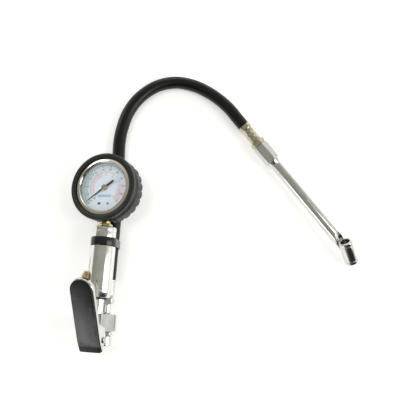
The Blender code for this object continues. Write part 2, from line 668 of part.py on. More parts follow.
def build_chuck():
    along = Vector(CHUCK_HEAD) - Vector(CHUCK_START)
    reach = along.length
    at = {"location": CHUCK_START, "direction": along.normalized()}
    turned("chuck_ferrule", [
        (0.0, CHUCK_FERRULE_END), (0.0066, CHUCK_FERRULE_END), (0.0072, CHUCK_FERRULE_END - 0.0006),
        (0.0072, 0.0050), (0.0080, 0.0040), (0.0080, 0.0006), (0.0076, GAP), (0.0, GAP),
    ], "nickel_brass", None, 24, closed=False, **at)
    hexagon("chuck_collar", 0.0168, CHUCK_FERRULE_END + GAP, CHUCK_COLLAR_END, "nickel_brass", None, **at)
    body = hexagon("chuck_body", 0.0178, CHUCK_COLLAR_END + GAP, CHUCK_HEX_END, "chrome", None,
                   bevel=0.0006, **at)
    shoulder = turned("chuck_shoulder", [
        (0.0, CHUCK_SHOULDER_END), (0.0074, CHUCK_SHOULDER_END), (0.0089, CHUCK_HEX_END - 0.0006),
        (0.0, CHUCK_HEX_END - 0.0006),
    ], None, None, 24, closed=False, helper=True, **at)
    combine(body, shoulder, "UNION")
    tube = turned("chuck_tube", [
        (0.0, reach), (0.0062, reach), (CHUCK_TUBE_R, reach - 0.0200),
        (CHUCK_TUBE_R, CHUCK_SHOULDER_END + GAP), (0.0, CHUCK_SHOULDER_END + GAP),
    ], "chrome", None, 24, closed=False, **at)
    saddle = solid_disc("head_saddle", HEAD_R + GAP, -0.0400, 0.0400, None, None, 48,
                        location=CHUCK_HEAD, direction=HEAD_DIRECTION, helper=True)
    combine(tube, saddle)


def build_chuck_head():
    at = {"location": CHUCK_HEAD, "direction": HEAD_DIRECTION}
    rim = HEAD_HALF - 0.0007
    turned("chuck_head", [
        (HEAD_R - 0.0007, HEAD_HALF), (HEAD_R, rim), (HEAD_R, -rim), (HEAD_R - 0.0007, -HEAD_HALF),
        (MOUTH_R, -HEAD_HALF), (MOUTH_R, -MOUTH_FLOOR), (0.0026, -MOUTH_FLOOR), (0.0026, MOUTH_FLOOR),
        (MOUTH_R, MOUTH_FLOOR), (MOUTH_R, HEAD_HALF),
    ], "chrome", None, 32, **at)
    for name, sign in (("rear", 1.0), ("front", -1.0)):
        facing = {"location": CHUCK_HEAD, "direction": Vector(HEAD_DIRECTION) * sign}
        ring("chuck_seal_" + name, 0.0024, 0.0053, MOUTH_FLOOR + GAP, 0.0086, "seal_rubber", None, 24,
             **facing)
        turned("chuck_pin_" + name, [
            (0.0, 0.0094), (0.0010, 0.0094), (0.0013, 0.0090), (0.0013, 0.0056), (0.0022, 0.0056),
            (0.0022, 0.0046), (0.0, 0.0046),
        ], "brass", None, 14, closed=False, **facing)
        wire("chuck_spring_" + name, coil(0.0017, 0.0010, 0.0042, 2.0), 0.0002, "steel", None, **facing)


build_boot()
build_case()
build_front()
build_pointer()
build_movement()
build_socket()
build_body()
build_bleed_valve()
build_clip()
build_block()
build_valve()
build_inlet()
build_hose_end()
build_lever()
build_lever_pad()
build_lever_pin()
build_hose()
build_chuck()
build_chuck_head()
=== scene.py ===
"""The looks of the tyre inflator: frames and the hose's route first, then camera, light and
materials, then each visible piece.

Metres throughout.  Each piece is modelled in the frame of the part that it belongs to: the
handle's frame has +X to its right, +Y towards the gauge and +Z out of the dial, and a turned
piece has +Z along its own axis.
"""
import json
import math

import bmesh
import bpy
from mathutils import Matrix, Vector


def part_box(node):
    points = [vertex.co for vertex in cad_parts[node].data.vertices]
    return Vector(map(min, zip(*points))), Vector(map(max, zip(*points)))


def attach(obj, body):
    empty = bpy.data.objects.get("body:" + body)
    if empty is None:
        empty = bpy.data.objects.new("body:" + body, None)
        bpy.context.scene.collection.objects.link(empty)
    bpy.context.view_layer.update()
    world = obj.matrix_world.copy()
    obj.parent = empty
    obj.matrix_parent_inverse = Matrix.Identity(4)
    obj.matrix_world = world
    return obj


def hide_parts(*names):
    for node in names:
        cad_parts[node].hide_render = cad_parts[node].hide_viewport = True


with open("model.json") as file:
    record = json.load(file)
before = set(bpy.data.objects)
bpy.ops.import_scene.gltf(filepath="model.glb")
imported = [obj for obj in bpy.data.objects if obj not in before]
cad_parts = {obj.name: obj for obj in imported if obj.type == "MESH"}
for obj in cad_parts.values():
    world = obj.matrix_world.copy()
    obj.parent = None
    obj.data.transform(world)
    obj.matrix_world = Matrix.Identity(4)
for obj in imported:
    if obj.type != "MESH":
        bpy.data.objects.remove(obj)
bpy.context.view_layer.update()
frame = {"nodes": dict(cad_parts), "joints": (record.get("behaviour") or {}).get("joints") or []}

CLOSE = 0.0000001
SHARP = math.radians(38.0)
QUARTER_BACK = Matrix.Rotation(math.radians(-90.0), 4, "X")

# ---------------------------------------------------------------- frames, from the CAD's joints
JOINTS = {joint["name"]: joint for joint in frame["joints"]}
PIN_HEIGHT = 0.0050
RIGHT = -Vector(JOINTS["lever_pivot"]["axis"]).normalized()
FRONT = -Vector(JOINTS["plunger_slide"]["axis"]).normalized()
ALONG = FRONT.cross(RIGHT).normalized()


def frame_at(origin, x, y, z):
    made = Matrix((x, y, z)).transposed().to_4x4()
    made.translation = origin
    return made


def facing(base, location, direction):
    """A frame in another, with its Z axis along a direction of that other frame."""
    turn = Vector(direction).to_track_quat("Z", "Y").to_matrix().to_4x4()
    return base @ Matrix.Translation(location) @ turn


LEVER_PIN = Vector(JOINTS["lever_pivot"]["pos_m"])
HANDLE = frame_at(LEVER_PIN - FRONT * PIN_HEIGHT, RIGHT, ALONG, FRONT)
LONGWAYS = HANDLE @ QUARTER_BACK
CROSSWAYS = facing(HANDLE, (0, 0, PIN_HEIGHT), (1, 0, 0))
GAUGE = frame_at(Vector(JOINTS["pointer_spin"]["pos_m"]), RIGHT, ALONG, FRONT)
STEM = GAUGE @ QUARTER_BACK
WORLD = Matrix.Identity(4)

# ---------------------------------------------------------------- sizes shared by pieces
BEZEL_R = 0.0326
BOOT_R = 0.0385
BOOT_LIP_R = 0.0387
DIAL_FRONT = 0.0091
BODY_R = 0.01375
BLEED_Y = 0.0653
BLEED_ANGLE = math.radians(55.0)
BLEED_OUT = (-math.sin(BLEED_ANGLE), 0.0, math.cos(BLEED_ANGLE))
BLEED = facing(HANDLE, (0, BLEED_Y, 0), BLEED_OUT)
VALVE_Y = 0.01785
VALVE = HANDLE @ Matrix.Translation((0, VALVE_Y, 0))
HOSE_BACK = -0.0224
HOSE_END = HANDLE @ Matrix.Translation((0, 0, HOSE_BACK)) @ QUARTER_BACK
INLET_BACK = -0.0250
INLET = HANDLE @ Matrix.Translation((0, 0, INLET_BACK)) @ QUARTER_BACK
HOSE_R = 0.0075
CHUCK_START = Vector((0.1614, 0.1709, 0.0093))
HEAD_AXIS = Vector(JOINTS["chuck_pin_front_press"]["axis"]).normalized()
HEAD_LOW, HEAD_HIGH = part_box("chuck_head")
HEAD_CENTER = (HEAD_LOW + HEAD_HIGH) / 2.0
CHUCK_LINE = HEAD_CENTER - CHUCK_START
CHUCK = facing(WORLD, CHUCK_START, CHUCK_LINE)
CHUCK_REACH = CHUCK_LINE.length
HEAD = facing(WORLD, HEAD_CENTER, HEAD_AXIS)

# The hose's route on the surface, from the handle's ferrule to the chuck's.
HOSE_ROUTE = [
    (0.0111, -0.0328, 0.0109),
    (0.0111, -0.0119, 0.0101),
    (0.0111, 0.0081, 0.0093),
    (0.0111, 0.0281, 0.0086),
    (0.0111, 0.0505, 0.0080),
    (0.0110, 0.0725, 0.0077),
    (0.0103, 0.0965, 0.0077),
    (0.0086, 0.1165, 0.0077),
    (0.0080, 0.1335, 0.0077),
    (0.0099, 0.1515, 0.0077),
    (0.0154, 0.1720, 0.0077),
    (0.0274, 0.1925, 0.0077),
    (0.0468, 0.2098, 0.0077),
    (0.0700, 0.2183, 0.0077),
    (0.0930, 0.2175, 0.0077),
    (0.1120, 0.2113, 0.0078),
    (0.1272, 0.2031, 0.0080),
    (0.1408, 0.1927, 0.0084),
    (0.1511, 0.1818, 0.0088),
    (0.1612, 0.1711, 0.0093),
]


# ---------------------------------------------------------------- node trees
class Graph:
    """A node tree, with the few kinds of node that the world and the materials share."""

    def __init__(self, tree):
        self.nodes = tree.nodes
        self.links = tree.links

    def feed(self, value, socket):
        """Link a socket to another node's output, or set its own value; colours gain their alpha."""
        if isinstance(value, bpy.types.NodeSocket):
            self.links.new(value, socket)
        elif socket.type == "RGBA":
            socket.default_value = (*value, 1.0)
        else:
            socket.default_value = value

    def node(self, kind, inputs, **settings):
        """Add a node with its settings, and feed its inputs by name or by number."""
        made = self.nodes.new("ShaderNode" + kind)
        for name, value in settings.items():
            setattr(made, name, value)
        for name, value in inputs.items():
            self.feed(value, made.inputs[name])
        return made

    def math(self, operation, *values):
        return self.node("Math", dict(enumerate(values)), operation=operation).outputs[0]

    def span(self, value, low, high, to_low=0.0, to_high=1.0):
        ends = {"Value": value, "From Min": low, "From Max": high, "To Min": to_low, "To Max": to_high}
        return self.node("MapRange", ends, interpolation_type="SMOOTHSTEP").outputs["Result"]

    def mix(self, factor, first, second):
        inputs = {"Factor": factor, "A": first, "B": second}
        return self.node("Mix", inputs, data_type="RGBA").outputs["Result"]


# ---------------------------------------------------------------- camera, light and floor
def placed(name, data, place=WORLD):
    """A new object in the scene, at a place."""
    made = bpy.data.objects.new(name, data)
    made.matrix_world = place
    bpy.context.scene.collection.objects.link(made)
    return made


CAMERA_HEIGHT = 0.6000
CAMERA_ALONG = 0.0480
CAMERA_TURN = (0.18750, -0.1745, 0.0647883)
FOCAL_LENGTH = 47.68


def make_camera():
    data = bpy.data.cameras.new("camera")
    data.lens = FOCAL_LENGTH
    data.sensor_width = 36.0
    data.clip_start = 0.01
    data.clip_end = 20.0
    pitch, roll, spin = CAMERA_TURN
    turn = Matrix.Rotation(roll, 4, "Y") @ Matrix.Rotation(pitch, 4, "X") @ Matrix.Rotation(spin, 4, "Z")
    place = HANDLE @ Vector((0, CAMERA_ALONG, 0)) + Vector((0, 0, CAMERA_HEIGHT))
    bpy.context.scene.camera = placed("camera", data, Matrix.Translation(place) @ turn)


def soft_light(name, center, target, width, height, radiance, color):
    data = bpy.data.lights.new(name, "AREA")
    data.shape = "RECTANGLE"
    data.size = width
    data.size_y = height
    data.energy = math.pi * width * height * radiance
    data.color = color
    turn = (Vector(target) - Vector(center)).to_track_quat("-Z", "Y").to_matrix().to_4x4()
    light = placed(name, data, Matrix.Translation(center) @ turn)
    light.visible_camera = False
    return light


def make_lights():
    middle = (0.08, 0.0, 0.0)
    soft_light("side_softbox", (1.02, -0.04, 0.82), middle, 0.50, 1.05, 3.4, (1.0, 0.985, 0.96))
    gauge = (0.0, 0.07, 0.05)
    dial_light = soft_light("dial_light", (-0.55, 0.10, 1.15), gauge, 0.44, 0.44, 6.5, (1.0, 1.0, 1.0))
    dial_light.visible_glossy = False
    soft_light("back_strip", (-0.98, 0.85, 0.36), (0.0, 0.07, 0.04), 0.36, 0.40, 3.0, (1.0, 1.0, 1.0))
    soft_light("low_strip", (-0.80, -1.05, 0.28), middle, 0.55, 0.20, 5.0, (0.96, 0.98, 1.0))
    soft_light("far_fill", (0.35, 1.35, 0.55), middle, 1.4, 0.5, 1.0, (1.0, 0.99, 0.97))


DARK_SIDE = Vector((-0.80, -0.60, 0.0))
DARK_CORNER = Vector((0.50, -0.76, 0.40)).normalized()


def make_world():
    """A room with white walls on the right and warm grey ones on the left, which give the metal
    its bands, and one dark corner."""
    world = bpy.data.worlds.new("studio")
    world.use_nodes = True
    graph = Graph(world.node_tree)
    graph.nodes.clear()
    where = graph.node("TexCoord", {}).outputs["Generated"]

    def towards(direction):
        return graph.node("VectorMath", {0: where, 1: direction}, operation="DOT_PRODUCT").outputs["Value"]

    height = towards((0, 0, 1))
    left = graph.mix(graph.span(height, 0.45, 0.92), (0.30, 0.285, 0.245), (0.37, 0.355, 0.320))
    right = graph.mix(graph.span(height, 0.25, 0.90), (0.88, 0.89, 0.84), (0.38, 0.38, 0.33))
    sides = graph.mix(graph.span(towards(DARK_SIDE), 0.10, 0.17), right, left)
    outside, inside = math.cos(math.radians(54.0)), math.cos(math.radians(24.0))
    corner = graph.span(towards(DARK_CORNER), outside, inside)
    sky = graph.node("Background", {"Color": graph.mix(corner, sides, (0.03, 0.03, 0.032))})
    graph.node("OutputWorld", {"Surface": sky.outputs["Background"]})
    bpy.context.scene.world = world
    bpy.context.scene.view_settings.view_transform = "Standard"


def make_floor():
    shape = bmesh.new()
    bmesh.ops.create_grid(shape, x_segments=1, y_segments=1, size=6.0)
    mesh = mesh_of("floor", shape)
    floor = placed("floor", mesh)
    look = Look("floor_white", 0.0, 0.75)
    patchy = look.noise(3.0, detail=2.0)
    look.color(look.mix(patchy, (0.93, 0.93, 0.93), (0.95, 0.95, 0.95)))
    look.give("Emission Color", (1.0, 1.0, 1.0))
    look.give("Emission Strength", 0.40)
    mesh.materials.append(look.material)


# ---------------------------------------------------------------- material building
class Look(Graph):
    """A material in the making: one Principled shader and the procedural nodes that feed it."""

    def __init__(self, name, metallic, roughness, specular=0.5):
        self.material = bpy.data.materials.new(name)
        self.material.use_nodes = True
        super().__init__(self.material.node_tree)
        self.shader = self.nodes["Principled BSDF"]
        self.output = self.nodes["Material Output"]
        self.give("Metallic", metallic)
        self.give("Roughness", roughness)
        self.give("Specular IOR Level", specular)
        self.place = self.node("TexCoord", {}).outputs["Object"]
        self.relief = None

    def give(self, name, value):
        self.feed(value, self.shader.inputs[name])

    def noise(self, scale, detail=4.0, rough=0.55, stretch=None, distortion=0.0):
        place = self.place
        if stretch:
            place = self.node("Mapping", {"Scale": stretch, "Vector": place}).outputs["Vector"]
        inputs = {
            "Scale": scale, "Detail": detail, "Roughness": rough, "Distortion": distortion,
            "Vector": place,
        }
        return self.node("TexNoise", inputs).outputs["Fac"]

    def cells(self, scale):
        return self.node("TexVoronoi", {"Scale": scale, "Vector": self.place}).outputs["Distance"]

    def edges(self, low=0.51, high=0.56):
        """1 on sharp outer edges, where handling rubs."""
        return self.span(self.node("NewGeometry", {}).outputs["Pointiness"], low, high)

    def upward(self):
        """1 on faces that look up, where dust settles."""
        normal = self.node("NewGeometry", {}).outputs["Normal"]
        return self.span(self.node("SeparateXYZ", {0: normal}).outputs["Z"], 0.35, 0.95)

    def color(self, value):
        self.give("Base Color", value)

    def roughness(self, value):
        self.give("Roughness", value)

    def bump(self, height, strength, distance):
        inputs = {"Strength": strength, "Distance": distance, "Height": height}
        if self.relief is not None:
            inputs["Normal"] = self.relief
        self.relief = self.node("Bump", inputs).outputs["Normal"]
        self.give("Normal", self.relief)


# ---------------------------------------------------------------- materials
def plated(name, bright, dull, roughness, relief=0.25):
    """Polished plating: faint clouding, hairline scratches, smudges and a soft orange peel."""
    look = Look(name, 1.0, roughness)
    cloud = look.span(look.noise(34.0, detail=5.0), 0.35, 0.70)
    worn = look.mix(look.edges(0.52, 0.60), look.mix(cloud, bright, dull), bright)
    look.color(worn)
    smudge = look.span(look.noise(90.0, detail=3.0, distortion=0.6), 0.42, 0.72)
    hair = look.span(look.noise(260.0, detail=2.0, stretch=(1.0, 9.0, 0.25)), 0.60, 0.72)
    rough = look.math("MULTIPLY_ADD", smudge, 0.09, roughness)
    look.roughness(look.math("ADD", rough, look.math("MULTIPLY", hair, 0.10)))
    look.bump(look.noise(520.0, detail=2.0), relief, 0.00002)
    look.bump(hair, 0.2, 0.00001)
    return look


def turned_metal(name, bright, dull, roughness, pitch=5200.0):
    """Machined metal: fine rings round its own Z axis under clouding and handling marks."""
    look = Look(name, 1.0, roughness)
    cloud = look.span(look.noise(45.0, detail=5.0), 0.32, 0.72)
    rings = look.noise(pitch, detail=3.0, stretch=(0.0, 0.0, 1.0))
    tone = look.mix(cloud, bright, dull)
    look.color(look.mix(look.math("MULTIPLY", rings, 0.35), tone, dull))
    stain = look.span(look.noise(110.0, detail=4.0, distortion=0.8), 0.50, 0.75)
    rough = look.math("MULTIPLY_ADD", rings, 0.10, roughness - 0.03)
    look.roughness(look.math("ADD", rough, look.math("MULTIPLY", stain, 0.12)))
    look.bump(rings, 0.18, 0.00002)
    return look


def cast_metal(name, bright, dull, roughness):
    """Die-cast zinc: a fine sandy grain, darker pits and brighter rubbed edges."""
    look = Look(name, 1.0, roughness)
    cloud = look.span(look.noise(60.0, detail=5.0), 0.30, 0.75)
    pits = look.span(look.cells(1500.0), 0.0, 0.32)
    tone = look.mix(cloud, bright, dull)
    dark = tuple(0.72 * part for part in dull)
    look.color(look.mix(look.edges(), look.mix(pits, dark, tone), bright))
    grain = look.noise(2600.0, detail=3.0)
    look.roughness(look.span(grain, 0.3, 0.7, roughness - 0.08, roughness + 0.12))
    look.bump(grain, 0.35, 0.00005)
    look.bump(pits, 0.25, 0.00003)
    return look


def rubber(name, dark, dusty, roughness, dust=0.5):
    """Moulded rubber: matt skin with a fine grain, grey bloom in patches and rubbed corners."""
    look = Look(name, 0.0, roughness, specular=0.5)
    bloom = look.span(look.noise(70.0, detail=6.0, rough=0.65), 0.42, 0.78)
    settled = look.math("MULTIPLY", look.math("MULTIPLY", bloom, look.upward()), dust)
    specks = look.span(look.noise(1900.0, detail=2.0), 0.70, 0.80)
    toned = look.mix(settled, dark, dusty)
    look.color(look.mix(look.math("MULTIPLY", specks, 0.25), toned, dusty))
    rubbed = look.math("MULTIPLY", look.edges(0.52, 0.60), -0.12)
    patch = look.span(bloom, 0.0, 1.0, roughness - 0.05, roughness + 0.10)
    look.roughness(look.math("ADD", patch, rubbed))
    look.bump(look.noise(2400.0, detail=3.0), 0.30, 0.00006)
    look.bump(look.noise(260.0, detail=2.0), 0.20, 0.00010)
    return look


def hose_skin():
    """Extruded rubber: a satin skin with faint lines along it, a cloth imprint and light scuffs."""
    look = Look("hose_skin", 0.0, 0.36, specular=0.35)
    look.place = look.node("Attribute", {}, attribute_name="hose_place").outputs["Vector"]
    scuff = look.span(look.noise(45.0, detail=6.0, rough=0.7), 0.56, 0.78)
    look.color(look.mix(look.math("MULTIPLY", scuff, 0.6), (0.0040, 0.0042, 0.0046), (0.020, 0.020, 0.019)))
    drawn = look.noise(900.0, detail=3.0, stretch=(1.0, 1.0, 0.02))
    satin = look.span(drawn, 0.3, 0.7, 0.27, 0.40)
    look.roughness(look.math("ADD", satin, look.math("MULTIPLY", scuff, 0.15)))
    look.bump(drawn, 0.22, 0.00005)
    look.bump(look.noise(1500.0, detail=2.0), 0.14, 0.00004)
    return look


def gloss_plastic(name, dark, light, roughness):
    """Moulded plastic: slight flow marks, fine handling scratches and paler rubbed edges."""
    look = Look(name, 0.0, roughness, specular=0.5)
    flow = look.span(look.noise(40.0, detail=4.0, stretch=(1.0, 0.4, 1.0)), 0.35, 0.75)
    rubbed = look.math("MULTIPLY", look.edges(0.51, 0.58), 0.7)
    look.color(look.mix(rubbed, look.mix(look.math("MULTIPLY", flow, 0.6), dark, light), light))
    fine = look.noise(1300.0, detail=3.0)
    scratch = look.span(look.noise(330.0, detail=2.0, stretch=(6.0, 0.5, 1.0)), 0.62, 0.74)
    spread = look.span(flow, 0.0, 1.0, roughness - 0.05, roughness + 0.07)
    look.roughness(look.math("ADD", spread, look.math("MULTIPLY", scratch, 0.12)))
    look.bump(fine, 0.16, 0.00004)
    look.bump(scratch, 0.15, 0.00002)
    return look


def grip_coating():
    """Dipped vinyl: glossy black at the crown, greyed down to the bend by a painted sheen, dark at the toe.
    """
    look = Look("grip_coating", 0.0, 0.30, specular=0.30)
    along = look.node("SeparateXYZ", {0: look.place}).outputs["Y"]
    # A painted sheen: the colour greys from the crown down to the bend, where light glances off the face,
    # and stops above the toe.
    painted_sheen_band = look.math("MULTIPLY", look.span(along, 0.046, 0.008), look.span(along, -0.0085, -0.0060))
    streak = look.span(look.noise(75.0, detail=5.0, stretch=(1.0, 0.35, 1.0)), 0.30, 0.70)
    # rubbed here is this painted sheen broken up by the streaks, not wear from handling.
    rubbed = look.math("MULTIPLY", painted_sheen_band, look.math("MULTIPLY_ADD", streak, 0.5, 0.5))
    look.color(look.mix(rubbed, (0.0040, 0.0041, 0.0052), (0.115, 0.116, 0.124)))
    fine = look.noise(1300.0, detail=3.0)
    scratch = look.span(look.noise(330.0, detail=2.0, stretch=(6.0, 0.5, 1.0)), 0.62, 0.74)
    satin = look.span(streak, 0.0, 1.0, 0.24, 0.38)
    look.roughness(look.math("ADD", satin, look.math("MULTIPLY", scratch, 0.12)))
    look.bump(fine, 0.16, 0.00004)
    look.bump(scratch, 0.15, 0.00002)
    look.give("Coat Weight", 0.08)
    look.give("Coat Roughness", 0.12)
    return look


def dial_paper():
    """The dial's printed face: pale blue white, a touch warmer at the rim, with a fine screen."""
    look = Look("dial_face_print", 0.0, 0.48, specular=0.4)
    cloud = look.span(look.noise(85.0, detail=4.0), 0.30, 0.75)
    base = look.mix(cloud, (0.72, 0.77, 0.87), (0.79, 0.82, 0.89))
    distance = look.node("VectorMath", {0: look.place}, operation="LENGTH")
    rim = look.span(distance.outputs["Value"], 0.022, 0.0305)
    look.color(look.mix(look.math("MULTIPLY", rim, 0.55), base, (0.70, 0.74, 0.76)))
    screen = look.noise(4200.0, detail=1.0)
    look.roughness(look.span(screen, 0.3, 0.7, 0.40, 0.55))
    look.bump(screen, 0.12, 0.00002)
    return look


def ink(name, strong, faded, thickness=0.4):
    """Printed ink, a little uneven where the screen printed thin."""
    look = Look(name, 0.0, 0.45, specular=0.4)
    thin = look.span(look.noise(1400.0, detail=3.0), 0.45, 0.75)
    look.color(look.mix(look.math("MULTIPLY", thin, thickness), strong, faded))
    look.roughness(look.span(look.noise(700.0, detail=2.0), 0.3, 0.7, 0.38, 0.55))
    look.bump(look.noise(3000.0, detail=1.0), 0.10, 0.00002)
    return look


def lens_glass():
    """Clear glass with faint wiping marks; lamps shine through it on to the dial."""
    look = Look("lens_clear", 0.0, 0.03, specular=0.5)
    look.give("Transmission Weight", 1.0)
    look.give("IOR", 1.45)
    wiped = look.noise(60.0, detail=4.0, stretch=(1.0, 3.0, 1.0), distortion=0.5)
    look.color(look.mix(wiped, (0.97, 0.99, 0.98), (0.93, 0.96, 0.96)))
    look.roughness(look.span(wiped, 0.50, 0.80, 0.015, 0.06))
    look.bump(look.noise(150.0, detail=2.0), 0.05, 0.00002)
    shadow = look.node("LightPath", {}).outputs["Is Shadow Ray"]
    clear = look.node("BsdfTransparent", {"Color": (0.96, 0.97, 0.97)}).outputs["BSDF"]
    both = look.node("MixShader", {"Fac": shadow, 1: look.shader.outputs["BSDF"], 2: clear})
    look.links.new(both.outputs["Shader"], look.output.inputs["Surface"])
    return look


LOOKS = {
    "boot_rubber": rubber("boot_rubber", (0.0130, 0.0136, 0.0130), (0.056, 0.058, 0.056), 0.43),
    "hose_rubber": hose_skin(),
    "seal_rubber": rubber("seal_rubber", (0.010, 0.010, 0.010), (0.040, 0.040, 0.038), 0.50),
    "case_steel": plated("case_steel", (0.20, 0.20, 0.21), (0.13, 0.13, 0.13), 0.34),
    "bezel_chrome": plated("bezel_chrome", (0.83, 0.80, 0.73), (0.70, 0.67, 0.60), 0.12),
    "lens_glass": lens_glass(),
    "dial_paint": dial_paper(),
    "black_ink": ink("black_ink", (0.070, 0.073, 0.085), (0.22, 0.23, 0.26)),
    "red_ink": ink("red_ink", (0.42, 0.19, 0.21), (0.62, 0.40, 0.43)),
    "rose_ink": ink("rose_ink", (0.76, 0.62, 0.70), (0.76, 0.70, 0.78), 0.8),
    "mint_ink": ink("mint_ink", (0.52, 0.64, 0.64), (0.62, 0.71, 0.73), 0.8),
    "blue_ink": ink("blue_ink", (0.33, 0.50, 0.70), (0.52, 0.64, 0.82), 0.8),
    "pointer_paint": gloss_plastic("pointer_paint", (0.012, 0.012, 0.013), (0.05, 0.05, 0.05), 0.34),
    "brass": turned_metal("brass_turned", (0.74, 0.61, 0.34), (0.44, 0.35, 0.17), 0.22),
    "nickel_brass": turned_metal("brass_plated", (0.66, 0.62, 0.49), (0.48, 0.44, 0.33), 0.18),
    "aluminium": turned_metal("aluminium_bright", (0.88, 0.88, 0.86), (0.73, 0.73, 0.71), 0.13),
    "block_zinc": cast_metal("zinc_cast", (0.56, 0.57, 0.56), (0.43, 0.44, 0.43), 0.36),
    "chrome": plated("chrome_plate", (0.72, 0.72, 0.70), (0.60, 0.60, 0.59), 0.07),
    "steel": turned_metal("steel_bright", (0.60, 0.60, 0.59), (0.44, 0.44, 0.43), 0.22),
    "clip_plastic": gloss_plastic("strap_plastic", (0.004, 0.004, 0.005), (0.014, 0.014, 0.016), 0.22),
    "pad_plastic": grip_coating(),
}


# ---------------------------------------------------------------- shape helpers
def eased(points, fillet, closed, steps=4):
    """Outline points with each corner turned into a short curve; a point may name its own fillet."""
    corners = [(Vector(p[:2]), p[2] if len(p) > 2 else fillet) for p in points]
    count = len(corners)
    made = []
    for i, (here, size) in enumerate(corners):
        if not closed and i in (0, count - 1):
            made.append(here)
            continue
        to_before = corners[i - 1][0] - here
        to_after = corners[(i + 1) % count][0] - here
        reach = min(size, 0.45 * to_before.length, 0.45 * to_after.length)
        if reach < 0.000005:
            made.append(here)
            continue
        start = here + to_before.normalized() * reach
        end = here + to_after.normalized() * reach
        for k in range(steps + 1):
            t = k / steps
            made.append(start * (1 - t) ** 2 + here * (2 * t * (1 - t)) + end * t ** 2)
    return made


def turned(profile, fillet=0.0003, steps=96, closed=True, reach=None):
    """A solid turned about Z from (radius, height) points; reach(angle, radius, height) shapes it."""
    shape = bmesh.new()
    rows = []
    for radius, height in eased(profile, fillet, closed):
        if radius < CLOSE:
            rows.append([shape.verts.new((0, 0, height))])
            continue
        row = []
        for i in range(steps):
            angle = 2.0 * math.pi * i / steps
            r = reach(angle, radius, height) if reach else radius
            row.append(shape.verts.new((r * math.cos(angle), r * math.sin(angle), height)))
        rows.append(row)
    pairs = list(zip(rows, rows[1:]))
    if closed:
        pairs.append((rows[-1], rows[0]))
    for a, b in pairs:
        for i in range(steps):
            j = (i + 1) % steps
            ring = [a[i % len(a)], a[j % len(a)], b[j % len(b)], b[i % len(b)]]
            corners = list(dict.fromkeys(ring))
            if len(corners) > 2:
                shape.faces.new(corners)
    bmesh.ops.recalc_face_normals(shape, faces=shape.faces)
    return shape


def spun(profile, fillet=0.0002, steps=64):
    """A turned solid whose outline starts and ends on its axis."""
    return turned(profile, fillet, steps, closed=False)


def rod(radius, top, bottom, steps=48, fillet=0.0, rim=None):
    """A plain cylinder along Z; rim is the fillet of its two edges where they differ."""
    edge = () if rim is None else (rim,)
    return spun([(0.0, top), (radius, top, *edge), (radius, bottom, *edge), (0.0, bottom)], fillet, steps)


def thread(first, second, start, pitch, turns):
    """Outline points of a thread or a serration, going from one radius to another and back."""
    points = []
    for i in range(turns):
        top = start + i * pitch
        points += [(first, top, 0.0), (second, top + pitch / 2.0, 0.0)]
    return points


def six_sided(across, rim=0.985):
    """A reach for turned(): flats this far across, with the corners turned down to a circle."""
    def reach(angle, radius, height):
        apart = (angle + math.pi / 6.0) % (math.pi / 3.0) - math.pi / 6.0
        flat = across / 2.0 / math.cos(apart)
        return min(radius, flat, across / math.sqrt(3.0) * rim)
    return reach


def nut(across, low, high, bore=0.0, chamfer=0.0011, rows=7):
    """A hexagon nut or hex body with turned chamfers, whose flats end in the usual arcs."""
    corner = across / math.sqrt(3.0)
    inner = across * 0.47
    top = []
    for i in range(rows + 1):
        share = i / rows
        top.append((inner + (corner - inner) * share, high - chamfer * share, 0.0))
    bottom = [(r, low + high - z, 0.0) for r, z, _ in reversed(top)]
    if bore:
        profile = top + bottom + [(bore, low, 0.0002), (bore, high, 0.0002)]
        return turned(profile, 0.0, 144, True, six_sided(across))
    profile = [(0.0, high)] + top + bottom + [(0.0, low)]
    return turned(profile, 0.0, 144, False, six_sided(across))


def sheet(outline, low, high):
    """A flat solid between two heights with the given (x, y) outline."""
    shape = bmesh.new()
    bottom = [shape.verts.new((x, y, low)) for x, y in outline]
    top = [shape.verts.new((x, y, high)) for x, y in outline]
    shape.faces.new(bottom)
    shape.faces.new(top)
    for i in range(len(outline)):
        j = (i + 1) % len(outline)
        shape.faces.new((bottom[i], bottom[j], top[j], top[i]))
    bmesh.ops.recalc_face_normals(shape, faces=shape.faces)
    return shape


def belt_of(outline, inner, low, high):
    """A flat band between two outlines with the same count of points."""
    shape = bmesh.new()
    rings = []
    for points, height in ((outline, low), (outline, high), (inner, high), (inner, low)):
        rings.append([shape.verts.new((x, y, height)) for x, y in points])
    for a, b in zip(rings, rings[1:] + rings[:1]):
        for i in range(len(a)):
            j = (i + 1) % len(a)
            shape.faces.new((a[i], a[j], b[j], b[i]))
    bmesh.ops.recalc_face_normals(shape, faces=shape.faces)
    return shape


def arc(radius, start, end, count, center=(0.0, 0.0)):
    points = []
    for i in range(count + 1):
        angle = math.radians(start + (end - start) * i / count)
        points.append((center[0] + radius * math.cos(angle), center[1] + radius * math.sin(angle)))
    return points


def block(low, high):
    shape = bmesh.new()
    bmesh.ops.create_cube(shape, size=1.0)
    size = [b - a for a, b in zip(low, high)]
    middle = [(a + b) / 2.0 for a, b in zip(low, high)]
    bmesh.ops.scale(shape, verts=shape.verts, vec=size)
    bmesh.ops.translate(shape, verts=shape.verts, vec=middle)
    return shape


def rectangle(left, bottom, right, top):
    return [(left, bottom), (right, bottom), (right, top), (left, top)]


def shade(mesh):
    """Smooth shading, broken at sharp edges."""
    mesh.shade_smooth()
    mesh.set_sharp_from_angle(angle=SHARP)


def mesh_of(name, shape):
    mesh = bpy.data.meshes.new(name)
    shape.to_mesh(mesh)
    shape.free()
    return mesh


def add(name, shape, look, base, body="root", stands_for=()):
    """Make a piece of the object from a shape in a frame, and let it ride on a body."""
    mesh = mesh_of(name, shape)
    mesh.materials.append(LOOKS[look].material)
    shade(mesh)
    piece = placed(name, mesh, base)
    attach(piece, body)
    if stands_for:
        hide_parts(*stands_for)
    return piece


